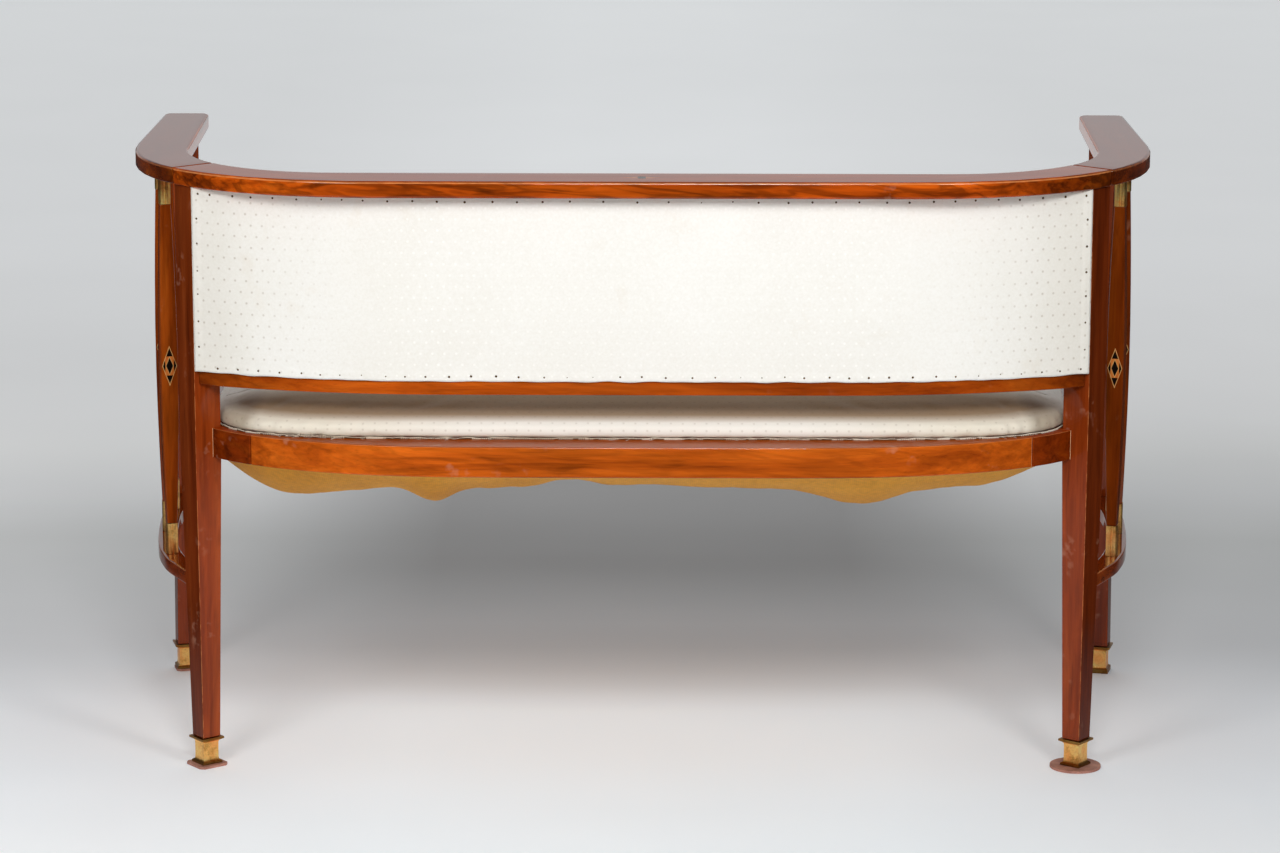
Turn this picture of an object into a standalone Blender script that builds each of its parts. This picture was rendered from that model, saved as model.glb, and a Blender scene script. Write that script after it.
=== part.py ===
"""Two-seat settee with a horseshoe rail, square legs, inlaid slats and a fixed upholstered seat.

Metres, +Z up, the settee stands on z = 0 and its front faces -Y. Left and right are those of
somebody who stands in front of it, so left is -X. The part is symmetric about x = 0 except for
the foot pads and the folds of the cloth under the seat.
"""
import math

import bmesh
import bpy

# Driving dimensions
# General fit between neighbouring pieces.
FIT = 0.0003

# Overall size.
HALF_WIDTH = 0.6215
HALF_DEPTH = 0.298
HEIGHT = 0.7345

# Heights.
TOP_RAIL_THICKNESS = 0.020
TOP_RAIL_BOTTOM = HEIGHT - TOP_RAIL_THICKNESS
SEAT_RAIL_BOTTOM = 0.385
SEAT_RAIL_DEPTH = 0.0365
SEAT_RAIL_TOP = SEAT_RAIL_BOTTOM + SEAT_RAIL_DEPTH
BACK_GAP = 0.0555
LOWER_RAIL_BOTTOM = SEAT_RAIL_TOP + BACK_GAP
LOWER_RAIL_HEIGHT = 0.040
LOWER_RAIL_TOP = LOWER_RAIL_BOTTOM + LOWER_RAIL_HEIGHT
LOWER_RAIL_SHOWN = 0.0168
COVER_BOTTOM = LOWER_RAIL_BOTTOM + LOWER_RAIL_SHOWN
STRETCHER_BOTTOM = 0.225
STRETCHER_THICKNESS = 0.017
STRETCHER_TOP = STRETCHER_BOTTOM + STRETCHER_THICKNESS

# Posts.
POST_SIDE = 0.036
POST_ARRIS = 0.0010
REAR_POST_INSET = 0.0925
REAR_POST_SETBACK = 0.118
REAR_POST_TURN_DEG = 38.0
REAR_POST_X = HALF_WIDTH - REAR_POST_INSET
REAR_POST_Y = HALF_DEPTH - REAR_POST_SETBACK
FRONT_POST_INSET = 0.0275
FRONT_POST_SETBACK = 0.038
FRONT_POST_TURN_DEG = 15.0
FRONT_POST_X = HALF_WIDTH - FRONT_POST_INSET
FRONT_POST_Y = FRONT_POST_SETBACK - HALF_DEPTH
FRONT_LEG_SPLAY = 0.0095
FRONT_FOOT_X = FRONT_POST_X + FRONT_LEG_SPLAY
LEG_FOOT_SIDE = 0.0245
LEG_TENON_SIDE = 0.0180

# Plan of the top rail: straight back, rounded corners, straight arms.
TOP_BACK_OVERHANG = 0.007
TOP_BACK_Y = HALF_DEPTH - TOP_BACK_OVERHANG
TOP_CORNER_REACH_X = 0.3215
TOP_CORNER_REACH_Y = 0.320
TOP_CORNER_X = HALF_WIDTH - TOP_CORNER_REACH_X
TOP_CORNER_Y = TOP_BACK_Y - TOP_CORNER_REACH_Y
TOP_CORNER_POWER = 2.25
BACK_RAIL_WIDTH = 0.072
ARM_RAIL_WIDTH = 0.067
TOP_INNER_HALF_WIDTH = HALF_WIDTH - ARM_RAIL_WIDTH
TOP_INNER_BACK_Y = TOP_BACK_Y - BACK_RAIL_WIDTH
TOP_INNER_REACH_X = 0.1945
TOP_INNER_REACH_Y = 0.209
TOP_INNER_CORNER_X = TOP_INNER_HALF_WIDTH - TOP_INNER_REACH_X
TOP_INNER_CORNER_Y = TOP_INNER_BACK_Y - TOP_INNER_REACH_Y
TOP_INNER_CORNER_POWER = 2.0
ARM_END_Y = -HALF_DEPTH
ARM_END_WIDTH = 0.057
ARM_END_INSET = 0.0015
ARM_END_OUTER_X = HALF_WIDTH - ARM_END_INSET
ARM_END_INNER_X = ARM_END_OUTER_X - ARM_END_WIDTH
ARM_END_RADIUS = 0.009
TOP_RAIL_ARRIS = 0.0035

# Plan of the back cover and the lower back rail.
COVER_SETBACK = 0.0248
COVER_BACK_Y = TOP_BACK_Y - COVER_SETBACK
COVER_CURVE_REACH = 0.311
COVER_EDGE_INSET = 0.0011
COVER_EDGE_STANDOFF = 0.0023
COVER_CURVE_POWER = 2.2
COVER_THICKNESS = 0.002
LOWER_RAIL_DEPTH = 0.020
LOWER_RAIL_REVEAL = 0.006
LOWER_RAIL_STRAIGHT_END = 0.031
LOWER_RAIL_ARRIS = 0.0015

# Plan of the seat frame.
FRAME_SIDE_INSET = 0.0565
FRAME_FRONT_INSET = 0.0315
FRAME_HALF_WIDTH = HALF_WIDTH - FRAME_SIDE_INSET
FRAME_FRONT_X = HALF_WIDTH - FRAME_FRONT_INSET
FRAME_BACK_Y = HALF_DEPTH
FRAME_FRONT_SETBACK = 0.026
FRAME_FRONT_Y = FRAME_FRONT_SETBACK - HALF_DEPTH
FRAME_REACH_X = 0.395
FRAME_REACH_Y = 0.258
FRAME_CORNER_X = FRAME_HALF_WIDTH - FRAME_REACH_X
FRAME_CORNER_Y = FRAME_BACK_Y - FRAME_REACH_Y
FRAME_CORNER_POWER = 2.35
FRAME_RAIL_WIDTH = 0.062
FRAME_ARRIS = 0.002

# Feet.
PAD_HEIGHT = 0.003
SABOT_TOP = 0.0362
SOCKET_FLOOR = 0.013
SQUARE_PAD_SIDE = 0.039
FRONT_PAD_SIDE = 0.029
PAD_CORNER = 0.0045
ROUND_PAD_RADIUS = 0.031

# Side stretchers, slats and ferrules.
STRETCHER_WIDTH = 0.024
STRETCHER_ARRIS = 0.002
SLAT_MID_SIDE = 0.0205
SLAT_END_SIDE = 0.0125
SLAT_ARRIS = 0.0009
SLAT_TENON_SIDE = 0.0075
FERRULE_HEIGHT = 0.038
FERRULE_CORE_SIDE = 0.0116
FERRULE_REED_HEIGHT = 0.0011

# Marquetry lozenges.
INLAY_LENGTH = 0.050
INLAY_WIDTH = 0.0182
RAIL_INLAY_LENGTH = 0.042
RAIL_INLAY_WIDTH = 0.017
INLAY_DEPTH = 0.0012

# Upholstery.
SEAT_BACK_MARGIN = 0.0435
SEAT_SIDE_MARGIN = 0.046
SEAT_FRONT_SIDE_MARGIN = 0.057
SEAT_FRONT_MARGIN = 0.042
SEAT_BACK_Y = FRAME_BACK_Y - SEAT_BACK_MARGIN
SEAT_HALF_WIDTH = FRAME_HALF_WIDTH - SEAT_SIDE_MARGIN
SEAT_FRONT_HALF_WIDTH = FRAME_FRONT_X - SEAT_FRONT_SIDE_MARGIN
SEAT_FRONT_Y = FRAME_FRONT_Y + SEAT_FRONT_MARGIN
SEAT_CORNER_POWER = 3.6
SEAT_FRONT_CORNER_RADIUS = 0.055
BACK_PAD_CLEARANCE = 0.013
BACK_PAD_BOTTOM = LOWER_RAIL_BOTTOM + BACK_PAD_CLEARANCE
BACK_PAD_DEPTH = 0.050
BACK_PAD_END_MARGIN = 0.030
WEBBING_THICKNESS = 0.0025
BLOCK_RECESS = 0.007
BLOCK_BOTTOM = SEAT_RAIL_BOTTOM + BLOCK_RECESS
BLOCK_SIDE = 0.070
CLOTH_THICKNESS = 0.0016
CLOTH_EDGE_INSET = 0.014
CLOTH_SIDE_INSET = 0.030
CLOTH_SAG = 0.0502

# Shapes given as shares
# Outer edge of the side stretcher: how far it lies from the rear post's middle towards the
# widest line of the settee, and how far from the rear post towards the front post.
STRETCHER_PATH_SHARES = [(0.401, 0.076), (0.529, 0.135), (0.644, 0.209), (0.725, 0.277),
                         (0.784, 0.352), (0.839, 0.454), (0.886, 0.568), (0.919, 0.727),
                         (0.926, 0.842)]
# Slat centres along the stretcher, same shares, with the turn of each slat in degrees.
SLAT_PLACE_SHARES = [(0.5195, 0.2113), (0.728, 0.4863), (0.7915, 0.7613)]
SLAT_TURNS_DEG = [17.0, 7.0, 3.0]
# Slat swelling: height share between the ferrules and width share between end and middle.
SLAT_SWELL_SHARES = [(0.0, 0.0), (0.09, 0.30), (0.19, 0.58), (0.30, 0.82), (0.42, 0.985),
                     (0.434, 1.0), (0.566, 1.0), (0.58, 0.985), (0.70, 0.82), (0.81, 0.58),
                     (0.91, 0.30), (1.0, 0.0)]
# Sabot outline: half side as a share of LEG_FOOT_SIDE, height as a share of SABOT_TOP.
SABOT_OUTLINE_SHARES = [(0.547, 0.000), (0.547, 0.150), (0.520, 0.175), (0.455, 0.195),
                        (0.428, 0.225), (0.418, 0.300), (0.415, 0.560), (0.420, 0.800),
                        (0.440, 0.850), (0.500, 0.885), (0.575, 0.915), (0.628, 0.930),
                        (0.628, 1.000)]
SOCKET_SHARE = 0.3837
# Seat cushion: how far each ring lies inside the plan and how high it is over the rail, both
# as shares of CUSHION_HEIGHT.
CUSHION_HEIGHT = 0.055
SEAT_RING_SHARES = [(0.073, 0.0055), (0.0, 0.091), (-0.045, 0.182), (0.018, 0.300),
                    (0.200, 0.409), (0.509, 0.482), (0.945, 0.573), (1.636, 0.700),
                    (2.545, 0.864), (3.455, 1.0)]
# Back pad section: depth share of BACK_PAD_DEPTH and height share between bottom and top.
BACK_PAD_SECTION_SHARES = [(0.0, 0.03), (0.0, 1.0), (0.52, 1.0), (0.72, 0.975), (0.88, 0.90),
                           (0.97, 0.72), (1.0, 0.50), (0.97, 0.28), (0.88, 0.10),
                           (0.72, 0.025), (0.50, 0.0), (0.06, 0.0)]
# The pad's ends are lower and thinner: depth, height and lift as shares.
BACK_PAD_END_SHARES = (0.86, 0.96, 0.02)
# Half the length of the cloth's sag, as a share of its length from front to back.
CLOTH_SAG_REACH_SHARE = 0.485
# Folds of the cloth under the seat: place and reach as shares of FRAME_HALF_WIDTH, and how
# much deeper than the general sag each one hangs.
CLOTH_FOLD_SHARES = [(0.828, 0.179, 1.087), (0.444, 0.049, 0.421), (0.158, 0.065, -0.297),
                     (-0.004, 0.135, -0.133), (-0.474, 0.100, 0.499), (-0.769, 0.146, 0.356)]
CLOTH_ROW_SHARES = [0.0, 0.03, 0.08, 0.15, 0.24, 0.34, 0.45, 0.55, 0.64, 0.72, 0.79, 0.85,
                    0.90, 0.94, 0.975, 1.0]

CORNER_STEPS = 16
SCARF_STEP = 9
FRAME_SCARF_STEP = 8
FRAME_SIDE_STEP = 14
BLOCK_FIRST_STEP = 4
BLOCK_LAST_STEP = 12
COVER_STEPS = 24
PAD_STEPS = 14
CLOTH_COLUMNS = 30
TURN = math.pi / 180.0
COLLECTION_NAME = "settee"


# Scene and materials
def clear_scene():
    """Removes every object that is there before the part is built."""
    for obj in list(bpy.data.objects):
        bpy.data.objects.remove(obj, do_unlink=True)


def make_collection(name):
    """Makes a collection below the scene's own one."""
    collection = bpy.data.collections.new(name)
    bpy.context.scene.collection.children.link(collection)
    return collection


def principled(name, color, roughness, metallic=0.0):
    """Makes one plain Principled material."""
    material = bpy.data.materials.new(name)
    material.use_nodes = True
    shader = material.node_tree.nodes["Principled BSDF"]
    shader.inputs["Base Color"].default_value = (*color, 1.0)
    shader.inputs["Roughness"].default_value = roughness
    shader.inputs["Metallic"].default_value = metallic
    material.diffuse_color = (*color, 1.0)
    return material


def make_materials():
    """Makes the materials of the part."""
    return {
        "back_wood": principled("back_wood", (0.42, 0.105, 0.018), 0.22),
        "dark_wood": principled("dark_wood", (0.135, 0.026, 0.009), 0.26),
        "leg_wood": principled("leg_wood", (0.225, 0.050, 0.014), 0.26),
        "slat_wood": principled("slat_wood", (0.270, 0.060, 0.012), 0.28),
        "hidden_wood": principled("hidden_wood", (0.520, 0.360, 0.200), 0.70),
        "marquetry": principled("marquetry", (0.500, 0.200, 0.040), 0.25),
        "brass": principled("brass", (0.700, 0.450, 0.160), 0.28, 1.0),
        "fabric": principled("fabric", (0.880, 0.860, 0.800), 0.75),
        "base_cloth": principled("base_cloth", (0.460, 0.230, 0.055), 0.90),
        "webbing": principled("webbing", (0.400, 0.290, 0.170), 0.95),
        "pad_leather": principled("pad_leather", (0.300, 0.160, 0.120), 0.80),
    }


# Mesh helpers
def new_object(name, mesh, collection, material):
    """Puts a mesh into the collection under its own name."""
    obj = bpy.data.objects.new(name, mesh)
    collection.objects.link(obj)
    if material is not None:
        obj.data.materials.append(material)
    return obj


def mesh_from_bmesh(name, bm):
    """Turns a bmesh into a mesh with outward normals."""
    bmesh.ops.recalc_face_normals(bm, faces=bm.faces)
    mesh = bpy.data.meshes.new(name)
    bm.to_mesh(mesh)
    bm.free()
    return mesh


def add_arris(obj, width, segments=2):
    """Rounds the real corners of a piece and leaves the facets of its curves alone."""
    bevel = obj.modifiers.new("arris", "BEVEL")
    bevel.width = width
    bevel.segments = segments
    bevel.limit_method = "ANGLE"
    bevel.angle_limit = 40.0 * TURN
    bevel.use_clamp_overlap = True
    return bevel


def prism(name, outline, bottom, top, collection, material, arris=0.0, segments=2):
    """Extrudes a closed plan outline between two heights."""
    bm = bmesh.new()
    base = bm.faces.new([bm.verts.new((x, y, bottom)) for x, y in outline])
    lifted = bmesh.ops.extrude_face_region(bm, geom=[base])
    verts = [item for item in lifted["geom"] if isinstance(item, bmesh.types.BMVert)]
    bmesh.ops.translate(bm, verts=verts, vec=(0.0, 0.0, top - bottom))
    obj = new_object(name, mesh_from_bmesh(name, bm), collection, material)
    if arris > 0.0:
        add_arris(obj, arris, segments)
    return obj


def loft(name, loops, collection, material):
    """Joins closed loops of points, one after the other, and caps both ends."""
    bm = bmesh.new()
    rows = [[bm.verts.new(point) for point in loop] for loop in loops]
    count = len(rows[0])
    for lower, upper in zip(rows, rows[1:]):
        for i in range(count):
            j = (i + 1) % count
            bm.faces.new((lower[i], lower[j], upper[j], upper[i]))
    bm.faces.new(rows[0])
    bm.faces.new(rows[-1])
    return new_object(name, mesh_from_bmesh(name, bm), collection, material)


def set_place(obj, x, y, z, turn_deg=0.0):
    """Places a piece and turns it about the vertical."""
    obj.location = (x, y, z)
    obj.rotation_euler = (0.0, 0.0, turn_deg * TURN)


def cut(obj, cutter):
    """Takes the cutter's shape out of a piece."""
    boolean = obj.modifiers.new("cut", "BOOLEAN")
    boolean.operation = "DIFFERENCE"
    boolean.solver = "EXACT"
    boolean.object = cutter
    return boolean


def hide_cutter(obj):
    """Keeps a cutter out of the picture."""
    obj.hide_render = True
    obj.display_type = "WIRE"
    return obj


def shifted(first, second, distance):
    """Moves a joint line sideways by a distance; a positive one goes to its right."""
    dx = second[0] - first[0]
    dy = second[1] - first[1]
    length = math.hypot(dx, dy)
    sx = dy / length * distance
    sy = -dx / length * distance
    return (first[0] + sx, first[1] + sy), (second[0] + sx, second[1] + sy)


def mirrored(points):
    """Mirrors plan points about x = 0."""
    return [(-x, y) for x, y in points]


def sided(points, side):
    """Gives the plan points of the right side (+1) or of the left side (-1)."""
    return list(points) if side > 0 else mirrored(points)


# Plan curves
def corner_curve(centre_x, centre_y, reach_x, reach_y, power, steps=CORNER_STEPS):
    """Points of one rounded corner, from the back round to the side."""
    points = []
    for i in range(steps + 1):
        angle = 0.5 * math.pi * i / steps
        sx = max(math.sin(angle), 0.0) ** (2.0 / power)
        cy = max(math.cos(angle), 0.0) ** (2.0 / power) if i < steps else 0.0
        points.append((centre_x + reach_x * sx, centre_y + reach_y * cy))
    return points


def top_outer():
    """Outer corner of the top rail."""
    return corner_curve(TOP_CORNER_X, TOP_CORNER_Y, HALF_WIDTH - TOP_CORNER_X,
                        TOP_BACK_Y - TOP_CORNER_Y, TOP_CORNER_POWER)


def top_inner():
    """Inner corner of the top rail."""
    return corner_curve(TOP_INNER_CORNER_X, TOP_INNER_CORNER_Y,
                        TOP_INNER_HALF_WIDTH - TOP_INNER_CORNER_X,
                        TOP_INNER_BACK_Y - TOP_INNER_CORNER_Y, TOP_INNER_CORNER_POWER)


def frame_curve(inset, power=FRAME_CORNER_POWER):
    """Rear corner of the seat frame, moved inwards."""
    return corner_curve(FRAME_CORNER_X, FRAME_CORNER_Y,
                        FRAME_HALF_WIDTH - FRAME_CORNER_X - inset,
                        FRAME_BACK_Y - FRAME_CORNER_Y - inset, power)


def post_axes(turn_deg):
    """Directions of a right-hand post: towards the middle and towards the outside front."""
    cos = math.cos(turn_deg * TURN)
    sin = math.sin(turn_deg * TURN)
    return (-cos, -sin), (sin, -cos)


def post_corner(x, y, turn_deg, half, along, across):
    """A point of a right-hand post's section, given along its two directions."""
    first, second = post_axes(turn_deg)
    return (x + half * (along * first[0] + across * second[0]),
            y + half * (along * first[1] + across * second[1]))


def cover_end():
    """Outer end of the back cover, just behind the rear corner of the rear post."""
    half = 0.5 * POST_SIDE
    corner = post_corner(REAR_POST_X, REAR_POST_Y, REAR_POST_TURN_DEG, half, -1.0, -1.0)
    return corner[0] - COVER_EDGE_INSET, corner[1] + COVER_EDGE_STANDOFF


def cover_y(x, offset=0.0):
    """Outer face of the back cover at a place across the settee, moved forwards."""
    end_x, end_y = cover_end()
    share = (abs(x) - end_x) / COVER_CURVE_REACH + 1.0
    drop = (COVER_BACK_Y - end_y) * max(share, 0.0) ** COVER_CURVE_POWER
    return COVER_BACK_Y - drop - offset


def rear_side_point(distance, gap=FIT):
    """A point beside the rear post's inner side face, measured from its rear corner."""
    half = 0.5 * POST_SIDE
    corner = post_corner(REAR_POST_X, REAR_POST_Y, REAR_POST_TURN_DEG, half, -1.0, -1.0)
    first, second = post_axes(REAR_POST_TURN_DEG)
    return (corner[0] + distance * first[0] - gap * second[0],
            corner[1] + distance * first[1] - gap * second[1])


# Top rail
def lozenge(length_x, length_y):
    """Outline of an inlay lozenge."""
    return [(-0.5 * length_x, 0.0), (0.0, -0.5 * length_y),
            (0.5 * length_x, 0.0), (0.0, 0.5 * length_y)]


def build_top_rail_back(parts, cutters, mats):
    """Middle piece of the top rail, between the two scarfs, with the pocket of its inlay."""
    outer = top_outer()[:SCARF_STEP + 1]
    inner = top_inner()[:SCARF_STEP + 1]
    half = outer + inner[::-1]
    outline = half + mirrored(half)[::-1]
    rail = prism("top_rail_back", outline, TOP_RAIL_BOTTOM, HEIGHT, parts, mats["back_wood"],
                 TOP_RAIL_ARRIS, 3)
    middle = 0.5 * (TOP_BACK_Y + TOP_INNER_BACK_Y)
    shape = lozenge(RAIL_INLAY_LENGTH + 4.0 * FIT, RAIL_INLAY_WIDTH + 2.0 * FIT)
    outline = [(x, y + middle) for x, y in shape]
    pocket = prism("pocket_top_rail", outline, HEIGHT - INLAY_DEPTH - FIT, HEIGHT + INLAY_DEPTH,
                   cutters, None)
    cut(rail, hide_cutter(pocket))
    outline = [(x, y + middle) for x, y in lozenge(RAIL_INLAY_LENGTH, RAIL_INLAY_WIDTH)]
    prism("top_rail_inlay", outline, HEIGHT - INLAY_DEPTH, HEIGHT, parts, mats["marquetry"])


def build_arm_rail(name, side, parts, mats):
    """Corner and arm of the top rail in one piece, from the scarf to the rounded arm end."""
    outer = top_outer()[SCARF_STEP:]
    inner = top_inner()[SCARF_STEP:]
    outer[0], inner[0] = shifted(outer[0], inner[0], -FIT)
    radius = ARM_END_RADIUS
    end = [(ARM_END_OUTER_X, ARM_END_Y + radius), (ARM_END_OUTER_X - 0.3 * radius,
            ARM_END_Y + 0.3 * radius), (ARM_END_OUTER_X - radius, ARM_END_Y),
           (ARM_END_INNER_X + radius, ARM_END_Y), (ARM_END_INNER_X + 0.3 * radius,
            ARM_END_Y + 0.3 * radius), (ARM_END_INNER_X, ARM_END_Y + radius)]
    outline = sided(outer + end + inner[::-1], side)
    prism(name, outline, TOP_RAIL_BOTTOM, HEIGHT, parts, mats["dark_wood"], TOP_RAIL_ARRIS, 3)


# Back
def cover_stations(end_x, steps=COVER_STEPS):
    """Places across the back from one side to the other, closer together at the ends."""
    stations = []
    for i in range(-steps // 2, steps // 2 + 1):
        share = 2.0 * i / steps
        stations.append(end_x * math.copysign(abs(share) ** 0.8, share))
    return stations


def build_back_cover(parts, mats):
    """Fabric over the outside of the back, from post corner to post corner."""
    stations = cover_stations(cover_end()[0])
    outline = [(x, cover_y(x)) for x in stations]
    outline += [(x, cover_y(x, COVER_THICKNESS)) for x in reversed(stations)]
    prism("outside_back_cover", outline, COVER_BOTTOM, TOP_RAIL_BOTTOM - FIT, parts,
          mats["fabric"])


def build_lower_rail(parts, mats):
    """Curved lower back rail, fitted between the side faces of the rear posts."""
    face = COVER_THICKNESS + FIT
    outer_end = rear_side_point(LOWER_RAIL_REVEAL)
    inner_end = rear_side_point(LOWER_RAIL_REVEAL + LOWER_RAIL_DEPTH)
    stations = cover_stations(cover_end()[0] - LOWER_RAIL_STRAIGHT_END, 20)
    outer = [(x, cover_y(x, face)) for x in stations]
    inner = [(x, cover_y(x, face + LOWER_RAIL_DEPTH)) for x in reversed(stations)]
    outline = [(-outer_end[0], outer_end[1])] + outer + [outer_end, inner_end] + inner
    outline.append((-inner_end[0], inner_end[1]))
    prism("lower_back_rail", outline, LOWER_RAIL_BOTTOM, LOWER_RAIL_TOP, parts,
          mats["back_wood"], LOWER_RAIL_ARRIS)


def build_back_stile(name, side, parts, mats):
    """Upright beside a rear post that takes the tacks of the cover's edge."""
    face = COVER_THICKNESS + FIT
    near = cover_end()[0] - LOWER_RAIL_STRAIGHT_END
    outline = [rear_side_point(0.75 * LOWER_RAIL_REVEAL),
               rear_side_point(LOWER_RAIL_REVEAL + LOWER_RAIL_DEPTH),
               (near, cover_y(near, face + LOWER_RAIL_DEPTH)),
               (near, cover_y(near, face))]
    prism(name, sided(outline, side), LOWER_RAIL_TOP + FIT, TOP_RAIL_BOTTOM - FIT, parts,
          mats["hidden_wood"])


def build_back_pad(parts, mats):
    """Stuffed inside back with a crown, between the rear posts."""
    start = COVER_THICKNESS + LOWER_RAIL_DEPTH + 3.0 * FIT
    height = TOP_RAIL_BOTTOM - 2.0 * FIT - BACK_PAD_BOTTOM
    thin_share, low_share, lift_share = BACK_PAD_END_SHARES
    loops = []
    for i, x in enumerate(cover_stations(cover_end()[0] - BACK_PAD_END_MARGIN, PAD_STEPS)):
        ends = i in (0, PAD_STEPS)
        slope = (cover_y(abs(x) + FIT) - cover_y(abs(x))) / FIT
        lean = math.copysign(math.atan(-slope), x)
        loop = []
        for depth_share, height_share in BACK_PAD_SECTION_SHARES:
            depth = BACK_PAD_DEPTH * depth_share * (thin_share if ends else 1.0)
            rise = height_share * low_share + lift_share if ends else height_share
            loop.append((x - depth * math.sin(lean),
                         cover_y(x, start) - depth * math.cos(lean),
                         BACK_PAD_BOTTOM + height * rise))
        loops.append(loop)
    loft("inside_back_pad", loops, parts, mats["fabric"])


# Posts and feet
def build_post(name, side, x, y, turn_deg, foot_x, parts, mats):
    """Square post in one piece: tenon in the sabot, tapered leg, straight part to the rail."""
    levels = [(SOCKET_FLOOR + FIT, LEG_TENON_SIDE, foot_x - x),
              (SABOT_TOP + FIT, LEG_TENON_SIDE, foot_x - x),
              (SABOT_TOP + FIT, LEG_FOOT_SIDE, foot_x - x),
              (SEAT_RAIL_BOTTOM, POST_SIDE, 0.0),
              (TOP_RAIL_BOTTOM - FIT, POST_SIDE, 0.0)]
    loops = []
    for level, size, splay in levels:
        half = 0.5 * size
        sx = side * splay * math.cos(turn_deg * TURN)
        sy = -splay * math.sin(turn_deg * TURN)
        loops.append([(sx - half, sy - half, level), (sx + half, sy - half, level),
                      (sx + half, sy + half, level), (sx - half, sy + half, level)])
    post = loft(name, loops, parts, mats["leg_wood"])
    add_arris(post, POST_ARRIS, 2)
    set_place(post, side * x, y, 0.0, side * turn_deg)
    return post


def build_post_cutter(name, side, x, y, turn_deg, cutters):
    """Square bar that notches the seat frame round a post."""
    half = 0.5 * POST_SIDE + FIT
    outline = [(-half, -half), (half, -half), (half, half), (-half, half)]
    cutter = prism(name, outline, SEAT_RAIL_BOTTOM - POST_SIDE, SEAT_RAIL_TOP + POST_SIDE,
                   cutters, None)
    set_place(cutter, side * x, y, 0.0, side * turn_deg)
    return hide_cutter(cutter)


def build_sabot(name, side, x, y, turn_deg, floor, parts, mats):
    """Brass foot: base plate, waisted square body, flared rim and a socket for the leg."""
    socket = SOCKET_SHARE * LEG_FOOT_SIDE
    profile = []
    for half_share, height_share in SABOT_OUTLINE_SHARES:
        profile.append((half_share * LEG_FOOT_SIDE, max(height_share * SABOT_TOP, floor)))
    profile += [(socket, SABOT_TOP), (socket, SOCKET_FLOOR)]
    loops = []
    for h, z in profile:
        loops.append([(-h, -h, z), (h, -h, z), (h, h, z), (-h, h, z)])
    sabot = loft(name, loops, parts, mats["brass"])
    set_place(sabot, side * x, y, 0.0, side * turn_deg)


def build_square_pad(name, side, x, y, turn_deg, size, parts, mats):
    """Square leather pad with cut-off corners below a foot."""
    half = 0.5 * size
    corner = PAD_CORNER
    outline = [(-half + corner, -half), (half - corner, -half), (half, -half + corner),
               (half, half - corner), (half - corner, half), (-half + corner, half),
               (-half, half - corner), (-half, -half + corner)]
    pad = prism(name, outline, 0.0, PAD_HEIGHT, parts, mats["pad_leather"])
    set_place(pad, side * x, y, 0.0, side * turn_deg)


def build_round_pad(name, side, x, y, parts, mats):
    """Round leather pad below a foot."""
    outline = []
    for i in range(36):
        angle = 2.0 * math.pi * i / 36
        outline.append((ROUND_PAD_RADIUS * math.cos(angle), ROUND_PAD_RADIUS * math.sin(angle)))
    pad = prism(name, outline, 0.0, PAD_HEIGHT, parts, mats["pad_leather"])
    set_place(pad, side * x, y, 0.0)


def build_posts_and_feet(parts, cutters, mats):
    """All four posts with their sabots and pads; gives back the cutters for the frame."""
    notches = {}
    on_pad = PAD_HEIGHT + FIT
    rear = (REAR_POST_X, REAR_POST_Y, REAR_POST_TURN_DEG, REAR_POST_X)
    front = (FRONT_POST_X, FRONT_POST_Y, FRONT_POST_TURN_DEG, FRONT_FOOT_X)
    for side, hand in ((1, "right"), (-1, "left")):
        for where, (x, y, turn_deg, foot_x) in (("rear", rear), ("front", front)):
            build_post(f"{where}_post_{hand}", side, x, y, turn_deg, foot_x, parts, mats)
            floor = 0.0 if (where, side) == ("front", -1) else on_pad
            build_sabot(f"{where}_sabot_{hand}", side, foot_x, y, turn_deg, floor, parts, mats)
            notches[where, side] = build_post_cutter(f"notch_{where}_{hand}", side, x, y,
                                                     turn_deg, cutters)
    build_square_pad("rear_foot_pad_right", 1, REAR_POST_X, REAR_POST_Y,
                     REAR_POST_TURN_DEG, SQUARE_PAD_SIDE, parts, mats)
    build_round_pad("rear_foot_pad_left", -1, REAR_POST_X, REAR_POST_Y, parts, mats)
    build_square_pad("front_foot_pad_right", 1, FRONT_FOOT_X, FRONT_POST_Y,
                     FRONT_POST_TURN_DEG, FRONT_PAD_SIDE, parts, mats)
    return notches


# Seat frame
def frame_side_inner_x(y):
    """Inner face of the side rail at a place along the side."""
    share = (FRAME_CORNER_Y - y) / (FRAME_CORNER_Y - FRAME_FRONT_Y)
    inner_back = FRAME_HALF_WIDTH - FRAME_RAIL_WIDTH
    inner_front = FRAME_FRONT_X - FRAME_RAIL_WIDTH
    return inner_back + (inner_front - inner_back) * share


def build_rear_rail(parts, mats):
    """Middle piece of the rear seat rail, between its two scarfs."""
    outer = frame_curve(0.0)[:FRAME_SCARF_STEP + 1]
    inner = frame_curve(FRAME_RAIL_WIDTH)[:FRAME_SCARF_STEP + 1]
    half = outer + inner[::-1]
    prism("seat_rail_rear", half + mirrored(half)[::-1], SEAT_RAIL_BOTTOM, SEAT_RAIL_TOP,
          parts, mats["back_wood"], FRAME_ARRIS)


def build_corner_rail(name, side, notch, parts, mats):
    """Curved end piece of the rear seat rail that passes inside the rear post."""
    outer = frame_curve(0.0)[FRAME_SCARF_STEP:FRAME_SIDE_STEP + 1]
    inner = frame_curve(FRAME_RAIL_WIDTH)[FRAME_SCARF_STEP:FRAME_SIDE_STEP + 1]
    outer[0], inner[0] = shifted(outer[0], inner[0], -FIT)
    rail = prism(name, sided(outer + inner[::-1], side), SEAT_RAIL_BOTTOM, SEAT_RAIL_TOP,
                 parts, mats["dark_wood"], FRAME_ARRIS)
    cut(rail, notch)


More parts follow.
